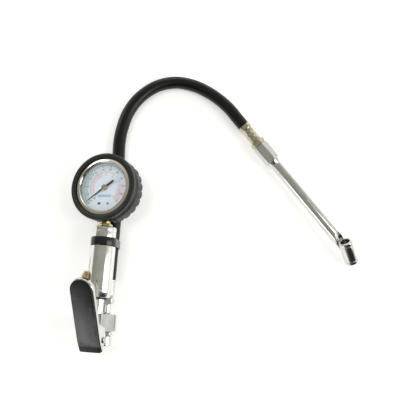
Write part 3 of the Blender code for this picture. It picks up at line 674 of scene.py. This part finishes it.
def carve(piece, shape, operation="DIFFERENCE", base=None):
    """Cut a shape out of a piece, or join it on, and keep the result as the piece's own mesh."""
    place = base if base is not None else piece.matrix_world
    cutter = placed("cutter", mesh_of("cutter", shape), place)
    change = piece.modifiers.new("carve", "BOOLEAN")
    change.operation = operation
    change.solver = "EXACT"
    change.object = cutter
    settle(piece)
    bpy.data.objects.remove(cutter)


def evaluated(thing):
    """A new mesh from an object with its modifiers applied, or from its text."""
    bpy.context.view_layer.update()
    graph = bpy.context.evaluated_depsgraph_get()
    return bpy.data.meshes.new_from_object(thing.evaluated_get(graph))


def settle(piece):
    """Apply a piece's modifiers."""
    made = evaluated(piece)
    piece.modifiers.clear()
    piece.data = made


def soften(piece, width, segments=2):
    """Round a piece's edges a little, as moulding, casting or tumbling leaves them."""
    bevel = piece.modifiers.new("edges", "BEVEL")
    bevel.width = width
    bevel.segments = segments
    bevel.limit_method = "ANGLE"
    bevel.angle_limit = math.radians(30.0)
    bevel.use_clamp_overlap = True
    bevel.harden_normals = False
    settle(piece)
    shade(piece.data)


def joined(shapes):
    """Several loose shapes as one mesh, for prints and repeated small parts."""
    whole = bmesh.new()
    for shape in shapes:
        mesh = mesh_of("part", shape)
        whole.from_mesh(mesh)
        bpy.data.meshes.remove(mesh)
    return whole


# ---------------------------------------------------------------- hose
def smooth_route(points, step):
    """Read evenly spaced points from a Catmull-Rom curve through the route's points."""
    knots = [Vector(p) for p in points]
    padded = [knots[0] * 2 - knots[1]] + knots + [knots[-1] * 2 - knots[-2]]
    fine = []
    for a, b, c, d in zip(padded, padded[1:], padded[2:], padded[3:]):
        for i in range(20):
            t = i / 20.0
            fine.append(0.5 * ((2 * b) + (c - a) * t + (2 * a - 5 * b + 4 * c - d) * t * t
                               + (3 * b - a - 3 * c + d) * t ** 3))
    fine.append(knots[-1])
    lengths = [0.0]
    for a, b in zip(fine, fine[1:]):
        lengths.append(lengths[-1] + (b - a).length)
    count = round(lengths[-1] / step)
    read = []
    index = 0
    for k in range(count + 1):
        wanted = lengths[-1] * k / count
        while index < len(fine) - 2 and lengths[index + 1] < wanted:
            index += 1
        share = (wanted - lengths[index]) / (lengths[index + 1] - lengths[index])
        read.append(fine[index].lerp(fine[index + 1], share))
    return read


def make_hose():
    """The air hose: a round tube on its route, with its place along and round it kept for its skin."""
    path = smooth_route(HOSE_ROUTE, 0.0025)
    sides = 40
    shape = bmesh.new()
    layer = shape.verts.layers.float_vector.new("hose_place")
    rows = []
    length = 0.0
    side = Vector((1, 0, 0))
    for i, point in enumerate(path):
        before = path[max(i - 1, 0)]
        after = path[min(i + 1, len(path) - 1)]
        forward = (after - before).normalized()
        side = (side - forward * side.dot(forward)).normalized()
        over = forward.cross(side)
        length += (point - before).length
        row = []
        for k in range(sides):
            angle = 2.0 * math.pi * k / sides
            out = side * math.cos(angle) + over * math.sin(angle)
            vert = shape.verts.new(point + out * HOSE_R)
            vert[layer] = (HOSE_R * math.cos(angle), HOSE_R * math.sin(angle), length)
            row.append(vert)
        rows.append(row)
    for a, b in zip(rows, rows[1:]):
        for k in range(sides):
            j = (k + 1) % sides
            shape.faces.new((a[k], a[j], b[j], b[k]))
    shape.faces.new(rows[0])
    shape.faces.new(rows[-1])
    bmesh.ops.recalc_face_normals(shape, faces=shape.faces)
    hose = add("rubber_hose", shape, "hose_rubber", WORLD, stands_for=["air_hose"])
    return hose


# ---------------------------------------------------------------- gauge
BOOT_LOBES = 24
LOBE_DEPTH = 0.0020
LOBES_FROM_R = 0.0330
LOBES_TOP = 0.0052


def lobed(angle, radius, height):
    """The boot's rear ring has round finger lobes; its front lip and its inside are round."""
    if radius < LOBES_FROM_R or height > LOBES_TOP:
        return radius
    across = (angle * BOOT_LOBES / (2.0 * math.pi)) % 1.0 * 2.0 - 1.0
    share = min(1.0, (radius - LOBES_FROM_R) / 0.0030)
    return radius - LOBE_DEPTH * share * (1.0 - math.sqrt(max(0.0, 1.0 - 0.96 * across * across)))


def make_boot():
    profile = [
        (0.0331, 0.0174, 0.0006), (0.0360, 0.0180, 0.0012), (0.0382, 0.0174, 0.0012),
        (BOOT_LIP_R, 0.0160, 0.0010), (BOOT_LIP_R, 0.0128, 0.0003), (0.0380, 0.0122, 0.0003),
        (0.0380, 0.0112, 0.0003), (BOOT_LIP_R, 0.0106, 0.0003), (BOOT_LIP_R, 0.0090, 0.0006),
        (0.0368, 0.0083, 0.0006), (0.0366, 0.0066, 0.0004), (0.0376, 0.0060, 0.0004),
        (0.0383, 0.0050, 0.0008), (BOOT_R, 0.0038, 0.0010), (BOOT_R, -0.0083, 0.0014),
        (0.0364, -0.0113, 0.0014), (0.0335, -0.0126, 0.0010), (0.0300, -0.0126, 0.0004),
        (0.0297, -0.0122, 0.0002), (0.0290, -0.0122, 0.0002), (0.0287, -0.0126, 0.0004),
        (0.0255, -0.0126, 0.0004), (0.0255, -0.0112, 0.0002), (0.0316, -0.0112, 0.0002),
        (0.0316, 0.0099, 0.0002), (0.0329, 0.0099, 0.0002), (0.0329, 0.0170, 0.0003),
    ]
    boot = add("rubber_boot", turned(profile, 0.0004, BOOT_LOBES * 14, reach=lobed), "boot_rubber", GAUGE,
               stands_for=["gauge_boot"])
    carve(boot, rod(0.0088, -0.0200, -0.0500, 64), base=STEM)


def make_bezel():
    profile = [
        (0.0278, 0.0158, 0.0002), (0.0288, 0.0170, 0.0004), (0.0321, 0.0161, 0.0003),
        (BEZEL_R, 0.0152, 0.0006), (BEZEL_R, 0.0099, 0.0002), (0.0316, 0.0099, 0.0002),
        (0.0316, 0.0151, 0.0002), (0.0278, 0.0151, 0.0001),
    ]
    add("bezel_ring", turned(profile, 0.0003, 160), "bezel_chrome", GAUGE, stands_for=["gauge_bezel"])


def make_lens():
    crown = 0.0164
    curvature = 1.75
    profile = [(0.0, crown)]
    for i in range(1, 15):
        radius = 0.0276 * i / 14
        profile.append((radius, crown - curvature * radius * radius, 0.0))
    profile += [(0.0313, 0.0149), (0.0313, 0.0134), (0.0, 0.0134)]
    add("clear_lens", spun(profile, steps=128), "lens_glass", GAUGE, stands_for=["gauge_lens"])


SWEEP_START = 225.0
SWEEP = 270.0
OUTER_TOP = 220
INNER_TOP = 16
PRINT_LOW = DIAL_FRONT + 0.00002
PRINT_HIGH = DIAL_FRONT + 0.00007


def dial_angle(share):
    """The direction of a reading on the dial, in degrees, for a share of the full scale."""
    return SWEEP_START - SWEEP * share


def tick(share, inner, outer, width):
    angle = math.radians(dial_angle(share))
    along = Vector((math.cos(angle), math.sin(angle)))
    across = Vector((-along.y, along.x)) * (width / 2.0)
    corners = [along * inner - across, along * outer - across, along * outer + across,
               along * inner + across]
    return sheet([tuple(c) for c in corners], PRINT_LOW, PRINT_HIGH)


def ring_print(inner, outer, first, last, low=PRINT_LOW, high=PRINT_HIGH, count=90):
    """A printed band between two radii, over a stretch of the scale."""
    outline = arc(outer, dial_angle(first), dial_angle(last), count)
    outline += arc(inner, dial_angle(last), dial_angle(first), count)
    return sheet(outline, low, high)


def number(text, share, radius, size):
    """Printed figures, centred at a radius and upright on the dial."""
    curve = bpy.data.curves.new("figures", "FONT")
    curve.body = text
    curve.size = size
    curve.align_x = "CENTER"
    curve.align_y = "CENTER"
    curve.extrude = (PRINT_HIGH - PRINT_LOW) / 2.0
    curve.resolution_u = 3
    angle = math.radians(dial_angle(share))
    holder = placed("figures", curve)
    mesh = evaluated(holder)
    shape = bmesh.new()
    shape.from_mesh(mesh)
    bmesh.ops.remove_doubles(shape, verts=shape.verts, dist=CLOSE * 10)
    bmesh.ops.scale(shape, verts=shape.verts, vec=(0.86, 1.0, 1.0))
    at = (radius * math.cos(angle), radius * math.sin(angle), (PRINT_LOW + PRINT_HIGH) / 2.0)
    bmesh.ops.translate(shape, verts=shape.verts, vec=at)
    bpy.data.meshes.remove(mesh)
    bpy.data.objects.remove(holder)
    bpy.data.curves.remove(curve)
    return shape


def scale(last, every, bold_every, ring, bold, fine, figures):
    """A scale's ring, its ticks, and a figure at each bold tick. Ticks are given as two radii and a
    width, and figures as a radius, a size and what one division is worth."""
    radius, size, worth = figures
    prints = [ring_print(*ring, 0.0, 1.0)]
    for i in range(0, last + 1, every):
        share = i / last
        if i % bold_every == 0:
            prints.append(tick(share, *bold))
            prints.append(number(str(round(i * worth)), share, radius, size))
        else:
            prints.append(tick(share, *fine))
    return prints


def make_dial():
    rim = [
        (0.0013, DIAL_FRONT - 0.0008), (0.0013, DIAL_FRONT), (0.0300, DIAL_FRONT),
        (0.0300, DIAL_FRONT - 0.0008),
    ]
    add("dial_face", turned(rim, 0.0001, 128), "dial_paint", GAUGE, stands_for=["dial_plate"])

    def printed(name, prints, ink_name):
        add(name, joined(prints), ink_name, GAUGE)

    def patch(*corners):
        return sheet(rectangle(*corners), PRINT_LOW, PRINT_HIGH)

    band = (PRINT_LOW - 0.00001, PRINT_LOW + 0.00001)
    printed("dial_band_mint", [ring_print(0.0205, 0.0262, 0.00, 0.34, *band)], "mint_ink")
    rose = [ring_print(0.0128, 0.0186, 0.08, 0.44, *band), ring_print(0.0150, 0.0225, 0.78, 1.00, *band)]
    printed("dial_band_rose", rose, "rose_ink")
    black = scale(OUTER_TOP, 4, 20, (0.0258, 0.0261), (0.0234, 0.0260, 0.00055),
                  (0.0247, 0.0260, 0.00022), (0.0211, 0.0030, 1.0))
    printed("dial_scale_outer", black + [patch(-0.0072, -0.0192, -0.0037, -0.0166)], "black_ink")
    red = scale(2 * INNER_TOP, 1, 4, (0.0181, 0.0183), (0.0164, 0.0182, 0.00045),
                (0.0172, 0.0182, 0.00020), (0.0143, 0.0026, 0.5))
    printed("dial_scale_inner", red + [patch(0.0033, -0.0192, 0.0063, -0.0166)], "red_ink")
    printed("dial_blue_bar", [patch(-0.0078, -0.0108, 0.0080, -0.0080)], "blue_ink")


POINTER_ZERO = 217.0


def make_pointer():
    edge = [
        (-0.0130, 0.00105), (-0.0122, 0.00125), (-0.0020, 0.00125), (0.0, 0.00120), (0.0090, 0.00078),
        (0.0245, 0.00022), (0.0255, 0.00006),
    ]
    outline = [(x, -y) for x, y in edge] + edge[::-1]
    base = GAUGE @ Matrix.Rotation(math.radians(POINTER_ZERO), 4, "Z")
    blade = add("pointer_needle", sheet(outline, 0.01045, 0.01095), "pointer_paint", base, "pointer",
                ["pointer"])
    soften(blade, 0.00010)
    hub = [
        (0.0, 0.0122), (0.0008, 0.0122, 0.0001), (0.0012, 0.0119, 0.0001), (0.0026, 0.0119, 0.0003),
        (0.0034, 0.0113, 0.0003), (0.0034, 0.0104, 0.0001), (0.0, 0.0104),
    ]
    add("pointer_hub", spun(hub), "nickel_brass", base, "pointer")


def make_stem():
    """The gauge's socket: the square foot that the tube is soldered to, the neck and the hexagon."""
    foot = add("gauge_stem", block((-0.0066, -0.0270, -0.0041), (0.0066, -0.0190, 0.0038)), "brass", GAUGE,
               stands_for=["gauge_socket"])
    soften(foot, 0.0004)
    neck = [(0.0, -0.0250), (0.0058, -0.0250), (0.0058, -0.0415), (0.0049, -0.0425)]
    neck += thread(0.0049, 0.0044, -0.0433, -0.0011, 9)
    neck += [(0.0049, -0.0532), (0.0, -0.0535)]
    add("stem_neck", spun(neck), "brass", STEM)
    add("stem_hexagon", nut(0.0148, -0.0433, -0.0399, 0.0057), "brass", STEM)


# ---------------------------------------------------------------- handle
def make_body():
    cap = [
        (0.0052, 0.1222), (0.0122, 0.1222, 0.0005), (0.0130, 0.1215, 0.0005), (0.0130, 0.1174, 0.0002),
        (0.0127, 0.1171, 0.0001), (0.0127, 0.1166, 0.0001), (0.0130, 0.1163, 0.0002),
        (0.0130, 0.1068, 0.0003), (0.0092, 0.1068), (0.0092, 0.0990), (0.0030, 0.0990),
        (0.0030, 0.1115), (0.0052, 0.1115),
    ]
    add("handle_cap", turned(cap, 0.0003, 128), "aluminium", LONGWAYS, stands_for=["body_top_cap"])
    profile = [
        (0.0095, 0.1065), (0.0129, 0.1065), (0.0129, 0.1007), (BODY_R, 0.1003, 0.0003),
        (BODY_R, 0.0533, 0.0002), (0.0134, 0.0529, 0.0001), (0.0134, 0.0521, 0.0001),
        (BODY_R, 0.0517, 0.0002), (0.01365, 0.0499, 0.0008), (0.0122, 0.0443, 0.0007),
        (0.0064, 0.0443, 0.0004), (0.0062, 0.0435, 0.0002), (0.0062, 0.0238), (0.0026, 0.0238),
        (0.0026, 0.0560), (0.0095, 0.0560),
    ]
    body = add("handle_tube", turned(profile, 0.0003, 160), "aluminium", LONGWAYS,
               stands_for=["handle_body"])
    pocket = [
        (0.0, 0.0200), (0.0073, 0.0200), (0.0073, 0.0130), (0.0033, 0.0130), (0.0033, 0.0060), (0.0, 0.0060),
    ]
    carve(body, spun(pocket, 0.0), base=BLEED)


KNURLS = 40


def knurled(angle, radius, height):
    if radius < 0.0063 or height < 0.0139:
        return radius
    return radius - 0.00022 * (1.0 - math.cos(angle * KNURLS))


def make_bleed_valve():
    housing = [
        (0.0047, 0.0184, 0.0002), (0.0061, 0.0184, 0.0004), (0.0070, 0.0177, 0.0004),
        (0.0070, 0.0146, 0.0002), (0.0066, 0.0143, 0.0001), (0.0066, 0.0133, 0.0001), (0.0030, 0.0133),
        (0.0030, 0.0103), (0.0017, 0.0103), (0.0017, 0.0139), (0.0047, 0.0139),
    ]
    add("bleed_knob", turned(housing, 0.0002, KNURLS * 6, reach=knurled), "brass", BLEED,
        stands_for=["bleed_housing"])
    button = [
        (0.0, 0.0208), (0.0014, 0.02075), (0.0026, 0.0205), (0.0037, 0.0199, 0.0004),
        (0.0043, 0.0188, 0.0005), (0.0043, 0.0164, 0.0002), (0.0013, 0.0164, 0.0002), (0.0013, 0.0093),
        (0.0024, 0.0093), (0.0024, 0.0083), (0.0, 0.0083),
    ]
    add("bleed_plunger", spun(button), "brass", BLEED, "bleed_button", ["bleed_button"])


def make_strap():
    big, small = 0.0142, 0.0090
    lean = math.degrees(math.acos((big - small) / -HOSE_BACK))

    def belt(around, about):
        loop = arc(around, 90 + lean, 450 - lean, 56)
        return loop + arc(about, 90 - lean, 90 + lean, 28, (0.0, -HOSE_BACK))

    low, high = 0.1011, 0.1102
    band = add("hose_strap", belt_of(belt(big, small), belt(big - 0.0009, small - 0.0010), low, high),
               "clip_plastic", LONGWAYS, stands_for=["hose_clip"])
    soften(band, 0.00028, 3)


def make_block():
    half, low, high, back, front = 0.0090, 0.0085, 0.0272, -0.0320, 0.0055
    cast = add("valve_block", block((-half, low, back), (half, high, front)), "block_zinc", HANDLE,
               stands_for=["manifold_block"])
    soften(cast, 0.0009, 3)
    carve(cast, block((-half + 0.0008, -0.0010, -0.0005), (half - 0.0008, 0.0120, 0.0100)), "UNION")
    carve(cast, rod(0.0054, 0.0119, -0.0119, 64, 0.0004, 0.0005), "UNION", CROSSWAYS)
    for side in (-1.0, 1.0):
        inner, outer = sorted((side * (half - 0.0006), side * (half + 0.0020)))
        carve(cast, block((inner, 0.0113, -0.0283), (outer, 0.0257, 0.0030)))
    soften(cast, 0.00022, 2)
    holes = [
        (rod(0.0021, 0.0130, -0.0130), CROSSWAYS), (rod(0.0046, 0.0110, -0.0135), VALVE),
        (rod(0.0066, 0.0300, 0.0234), LONGWAYS), (rod(0.0053, 0.0300, 0.0222), HOSE_END),
        (rod(0.0053, 0.0145, 0.0), INLET),
    ]
    for hole, base in holes:
        carve(cast, hole, base=base)
    shade(cast.data)


def make_valve():
    guide = [
        (0.0023, 0.0100), (0.0036, 0.0100), (0.0040, 0.0097), (0.0040, 0.0060), (0.0043, 0.0058),
        (0.0043, -0.0005), (0.0023, -0.0005),
    ]
    add("valve_guide", turned(guide, 0.0002, 64), "brass", VALVE, stands_for=["valve_guide_nut"])
    add("valve_guide_hexagon", nut(0.0108, 0.0058, 0.0092, 0.0041, 0.0007), "brass", VALVE)
    stem = [
        (0.0, 0.0218), (0.0009, 0.0216, 0.0003), (0.0016, 0.0210, 0.0004), (0.0020, 0.0198, 0.0004),
        (0.0020, -0.0030), (0.0036, -0.0030), (0.0036, -0.0052), (0.0, -0.0052),
    ]
    add("valve_stem", spun(stem, steps=48), "steel", VALVE, "plunger", ["valve_plunger"])


def make_inlet():
    shell = [(0.0, 0.0138), (0.0050, 0.0138), (0.0050, 0.0038), (0.0069, 0.0032, 0.0003),
             (0.0072, 0.0028, 0.0003), (0.0072, -0.0069, 0.0005), (0.0066, -0.0076, 0.0004),
             (0.0059, -0.0076, 0.0002)]
    shell += thread(0.0056, 0.0060, -0.0070, 0.0013, 7)
    shell += [(0.0056, 0.0030), (0.0, 0.0030)]
    add("inlet_socket", spun(shell, steps=96), "chrome", INLET, stands_for=["inlet_fitting"])
    add("inlet_hexagon", nut(0.0145, 0.0036, 0.0082, 0.0049, 0.0009), "chrome", INLET)


def make_hose_end():
    stem = [(0.0, 0.0382), (0.0044, 0.0382), (0.0049, 0.0377), (0.0049, 0.0290, 0.0002)]
    stem += thread(0.0045, 0.0049, 0.0284, -0.0012, 4)
    stem += [(0.0049, 0.0226), (0.0, 0.0226)]
    add("adapter_stem", spun(stem), "chrome", HOSE_END, stands_for=["hose_adapter"])
    add("hose_nut", nut(0.0150, 0.0385, 0.0463), "chrome", HOSE_END, stands_for=["handle_hose_nut"])
    crimp = [
        (0.0, 0.0466), (0.0066, 0.0466, 0.0003), (0.0082, 0.0480, 0.0006), (0.0082, 0.0540, 0.0005),
        (0.0077, 0.0546, 0.0004), (0.0077, 0.0572, 0.0004), (0.0082, 0.0578, 0.0005),
        (0.0082, 0.0606, 0.0005), (0.0077, 0.0612, 0.0004), (0.0077, 0.0628, 0.0004),
        (0.0082, 0.0635, 0.0004), (0.0082, 0.0654, 0.0003), (0.0076, 0.0654, 0.0002),
        (0.0076, 0.0636, 0.0001), (0.0, 0.0636),
    ]
    add("ferrule_crimped", spun(crimp, 0.0003, 96), "chrome", HOSE_END, stands_for=["handle_ferrule"])


# ---------------------------------------------------------------- lever
LEVER_LEAN = math.radians(27.6)
LEVER_HALF = 0.0135
LEVER_SHEET = 0.0012
LEVER_TOP = 0.0686
CROWN = LEVER_TOP - LEVER_HALF
BEND_TURN = math.radians(10.0)
BEND_RADIUS = 0.0250
BEND_START = -0.0015
TOE_END = BEND_START - BEND_RADIUS * BEND_TURN - 0.0094


def lever_spine(distance):
    """The face's centre line in the handle's side view: a point and its outward direction."""
    foot = Vector((0, 0, 0.0145))
    up = Vector((0, math.cos(LEVER_LEAN), math.sin(LEVER_LEAN)))
    out = Vector((0, -math.sin(LEVER_LEAN), math.cos(LEVER_LEAN)))
    if distance >= BEND_START:
        return foot + up * distance, out
    turn = min(BEND_TURN, (BEND_START - distance) / BEND_RADIUS)
    center = foot + up * BEND_START - out * BEND_RADIUS
    away = out * math.cos(turn) - up * math.sin(turn)
    down = -up * math.cos(turn) - out * math.sin(turn)
    beyond = BEND_START - distance - BEND_RADIUS * turn
    return center + away * BEND_RADIUS + down * beyond, away


def eased_share(value, span):
    share = min(1.0, max(0.0, value / span))
    return share * share * (3.0 - 2.0 * share)


def flange_depth(distance):
    """How far the side flange reaches back: a low rim above, and the ears round the pin."""
    ear = eased_share(0.0165 - distance, 0.0100)
    above_toe = eased_share(distance - TOE_END, 0.0120)
    return (0.0046 + 0.0094 * ear) * (0.25 + 0.75 * above_toe)


def loop_at(inset, start, count=22, crown_count=28):
    """The lever's outline inset by a distance: up its left side, round the crown, down the right."""
    half = LEVER_HALF - inset
    points = []
    for i in range(count):
        points.append((-half, start + (CROWN - start) * i / count))
    for i in range(crown_count + 1):
        angle = math.pi - math.pi * i / crown_count
        points.append((half * math.cos(angle), CROWN + half * math.sin(angle)))
    for i in range(count):
        points.append((half, CROWN - (CROWN - start) * (i + 1) / count))
    return points


def draped_shell(rings):
    """A solid from U-shaped rings of points that share their count: the first and the last are
    laced across from their left side to their right, and the open end is closed by a face."""
    shape = bmesh.new()
    rows = [[shape.verts.new(p) for p in ring] for ring in rings]
    for a, b in zip(rows, rows[1:]):
        for i in range(len(a) - 1):
            shape.faces.new((a[i], a[i + 1], b[i + 1], b[i]))
    for row in (rows[0], rows[-1]):
        far = len(row) - 1
        for i in range(far // 2):
            shape.faces.new(list(dict.fromkeys((row[i], row[i + 1], row[far - i - 1], row[far - i]))))
    shape.faces.new([row[0] for row in rows] + [row[-1] for row in reversed(rows)])
    bmesh.ops.recalc_face_normals(shape, faces=shape.faces)
    return shape


def lever_ring(inset, depth, start=TOE_END):
    """One ring of the lever's skin: the outline inset, each point set back by a depth."""
    made = []
    for x, distance in loop_at(inset, start):
        point, out = lever_spine(distance)
        back = depth(distance) if callable(depth) else depth
        made.append(Vector((x, 0, 0)) + point - out * back)
    return made


def make_lever():
    fillet = 0.0016
    inner = fillet - LEVER_SHEET * 0.75
    low = LEVER_SHEET + inner
    rings = [lever_ring(inset, LEVER_SHEET) for inset in (0.0115, 0.009, 0.006, 0.004)]
    for i in range(5):
        angle = math.radians(90.0 - 90.0 * i / 4)
        back = inner * (1 - math.sin(angle)) + LEVER_SHEET
        rings.append(lever_ring(LEVER_SHEET + inner * (1 - math.cos(angle)), back))
    for share in (0.25, 0.5, 0.75, 1.0):
        rings.append(lever_ring(LEVER_SHEET, lambda d, s=share: low + (flange_depth(d) - low) * s))
    for share in (1.0, 0.75, 0.5, 0.25):
        rings.append(lever_ring(0.0, lambda d, s=share: fillet + (flange_depth(d) - fillet) * s))
    for i in range(7):
        angle = math.radians(90.0 * i / 6)
        rings.append(lever_ring(fillet * (1 - math.cos(angle)), fillet * (1 - math.sin(angle))))
    rings += [lever_ring(inset, 0.0) for inset in (0.004, 0.006, 0.009, 0.0115)]
    lever = add("lever_pressing", draped_shell(rings), "chrome", HANDLE, "lever", ["lever"])
    carve(lever, rod(0.0022, 0.0200, -0.0200), base=CROSSWAYS)
    shade(lever.data)


def make_pad():
    gap, rise, edge, fillet = 0.0003, 0.0014, 0.0012, 0.0009
    start = TOE_END + 0.0003
    rings = [lever_ring(inset, -gap, start) for inset in (0.0115, 0.009, 0.005, edge + 0.0002)]
    rings.append(lever_ring(edge, -gap - 0.0002, start))
    for i in range(6):
        angle = math.radians(90.0 * i / 5)
        up = gap + rise - fillet * (1 - math.sin(angle))
        rings.append(lever_ring(edge + fillet * (1 - math.cos(angle)), -up, start))
    for inset, lift in ((0.004, 0.00010), (0.0065, 0.00022), (0.009, 0.00030), (0.0115, 0.00034)):
        rings.append(lever_ring(inset, -gap - rise - lift, start))
    add("lever_grip", draped_shell(rings), "pad_plastic", HANDLE, "lever", ["lever_pad"])


def make_lever_pin():
    pin = [
        (0.0, 0.0152), (0.0024, 0.0152, 0.0004), (0.0034, 0.0147, 0.0004), (0.0034, 0.0138, 0.0002),
        (0.0019, 0.0138), (0.0019, -0.0148, 0.0002), (0.0016, -0.0152, 0.0001), (0.0, -0.0152),
    ]
    add("pivot_pin", spun(pin), "steel", CROSSWAYS, stands_for=["lever_pin"])
    outer = arc(0.0042, -60, 240, 40)
    inner = arc(0.0022, 240, -60, 40)
    ring = add("pin_clip", sheet(outer + inner, -0.0146, -0.0139), "steel", CROSSWAYS,
               stands_for=["lever_pin_clip"])
    soften(ring, 0.00012)


# ---------------------------------------------------------------- chuck
FERRULE_END = 0.0235
COLLAR_END = 0.0300
HEX_END = 0.0560
SHOULDER_END = 0.0610
TUBE_R = 0.0069
HEAD_R = 0.0086
HEAD_HALF = 0.0160


def make_chuck():
    ferrule = [
        (0.0, 0.0004), (0.0077, 0.0004, 0.0001), (0.0077, -0.0016, 0.0001), (0.0081, -0.0016, 0.0002),
        (0.0082, 0.0, 0.0003), (0.0081, 0.0038, 0.0004), (0.0073, 0.0048, 0.0005), (0.0072, 0.0098, 0.0003),
        (0.0069, 0.0102, 0.0002), (0.0069, 0.0122, 0.0002), (0.0072, 0.0126, 0.0003),
        (0.0072, 0.0162, 0.0003), (0.0069, 0.0166, 0.0002), (0.0069, 0.0186, 0.0002),
        (0.0072, 0.0190, 0.0003), (0.0072, 0.0229, 0.0004), (0.0066, FERRULE_END, 0.0003),
        (0.0, FERRULE_END),
    ]
    add("chuck_sleeve", spun(ferrule, 0.0003, 96), "nickel_brass", CHUCK, stands_for=["chuck_ferrule"])
    add("chuck_nut", nut(0.0168, FERRULE_END + 0.0002, COLLAR_END, chamfer=0.0009), "nickel_brass", CHUCK,
        stands_for=["chuck_collar"])
    add("chuck_hexagon", nut(0.0178, COLLAR_END + 0.0002, HEX_END, chamfer=0.0013), "chrome", CHUCK,
        stands_for=["chuck_body"])
    shoulder = [
        (0.0, SHOULDER_END), (0.0072, SHOULDER_END, 0.0006), (0.0078, 0.0590, 0.0010),
        (0.0086, HEX_END + 0.0002, 0.0004), (0.0, HEX_END - 0.0004),
    ]
    add("chuck_shoulder", spun(shoulder, 0.0003, 96), "chrome", CHUCK)
    tube = [
        (0.0, CHUCK_REACH), (0.0058, CHUCK_REACH), (0.0064, CHUCK_REACH - 0.0100, 0.0020),
        (TUBE_R, CHUCK_REACH - 0.0240, 0.0040), (TUBE_R, SHOULDER_END + 0.0010, 0.0004),
        (0.0066, SHOULDER_END + 0.0003, 0.0002), (0.0, SHOULDER_END + 0.0003),
    ]
    pipe = add("chuck_pipe", spun(tube, 0.0003, 96), "chrome", CHUCK, stands_for=["chuck_tube"])
    carve(pipe, rod(HEAD_R + 0.0001, 0.0400, -0.0400, 128), base=HEAD)


def make_head():
    rim = HEAD_HALF
    profile = [
        (0.0058, rim, 0.0003), (0.0078, rim, 0.0005), (HEAD_R, rim - 0.0010, 0.0005),
        (HEAD_R, rim - 0.0042, 0.0002), (0.0083, rim - 0.0045, 0.0001), (0.0083, rim - 0.0052, 0.0001),
        (HEAD_R, rim - 0.0055, 0.0002),
    ]
    mirrored = [(r, -z, *rest) for r, z, *rest in reversed(profile)]
    inside = [(0.0056, -0.0062), (0.0026, -0.0062), (0.0026, 0.0062), (0.0056, 0.0062)]
    add("chuck_head_barrel", turned(profile + mirrored + inside, 0.0002, 128), "chrome", HEAD,
        stands_for=["chuck_head"])
    for name, sign in (("rear", 1.0), ("front", -1.0)):
        base = facing(WORLD, HEAD_CENTER, HEAD_AXIS * sign)
        seal = [(0.0024, 0.0065), (0.0053, 0.0065), (0.0053, 0.0084), (0.0041, 0.0088, 0.0005),
                (0.0028, 0.0086, 0.0003), (0.0024, 0.0080)]
        add("mouth_seal_" + name, turned(seal, 0.0002, 64), "seal_rubber", base,
            stands_for=["chuck_seal_" + name])
        pin = [
            (0.0, 0.0094), (0.0009, 0.0094, 0.0002), (0.0013, 0.0090, 0.0002), (0.0013, 0.0056),
            (0.0022, 0.0056), (0.0022, 0.0046), (0.0, 0.0046),
        ]
        add("valve_pin_" + name, spun(pin, steps=40), "brass", base, "chuck_pin_" + name,
            ["chuck_pin_" + name])


# ---------------------------------------------------------------- the rest of the CAD
INSIDE = {
    "case_steel": ["gauge_case"],
    "brass": ["pointer_shaft", "movement_front_plate", "movement_back_plate", "movement_post_1",
              "movement_post_2", "sector_gear", "tip_link", "bourdon_tip"],
    "nickel_brass": ["bourdon_tube", "inlet_filter"],
    "steel": ["pointer_stop_pin", "hairspring", "bleed_spring", "valve_spring", "chuck_spring_rear",
              "chuck_spring_front"],
    "seal_rubber": ["lens_gasket", "cap_oring", "body_oring", "bleed_seal", "valve_seal"],
}


def dress_inside():
    """The pieces that stay as CAD made them get their finish, and smooth shading where they are round."""
    for look, names in INSIDE.items():
        for name in names:
            node = frame["nodes"][name]
            node.data.materials.clear()
            node.data.materials.append(LOOKS[look].material)
            shade(node.data)


make_camera()
make_chuck()
make_head()
make_hose()
for make in (
    make_lights, make_world, make_floor, make_boot, make_bezel, make_lens, make_dial, make_pointer,
    make_stem, make_body, make_bleed_valve, make_strap, make_block, make_valve, make_inlet, make_hose_end,
    make_lever, make_pad, make_lever_pin, dress_inside,
):
    make()
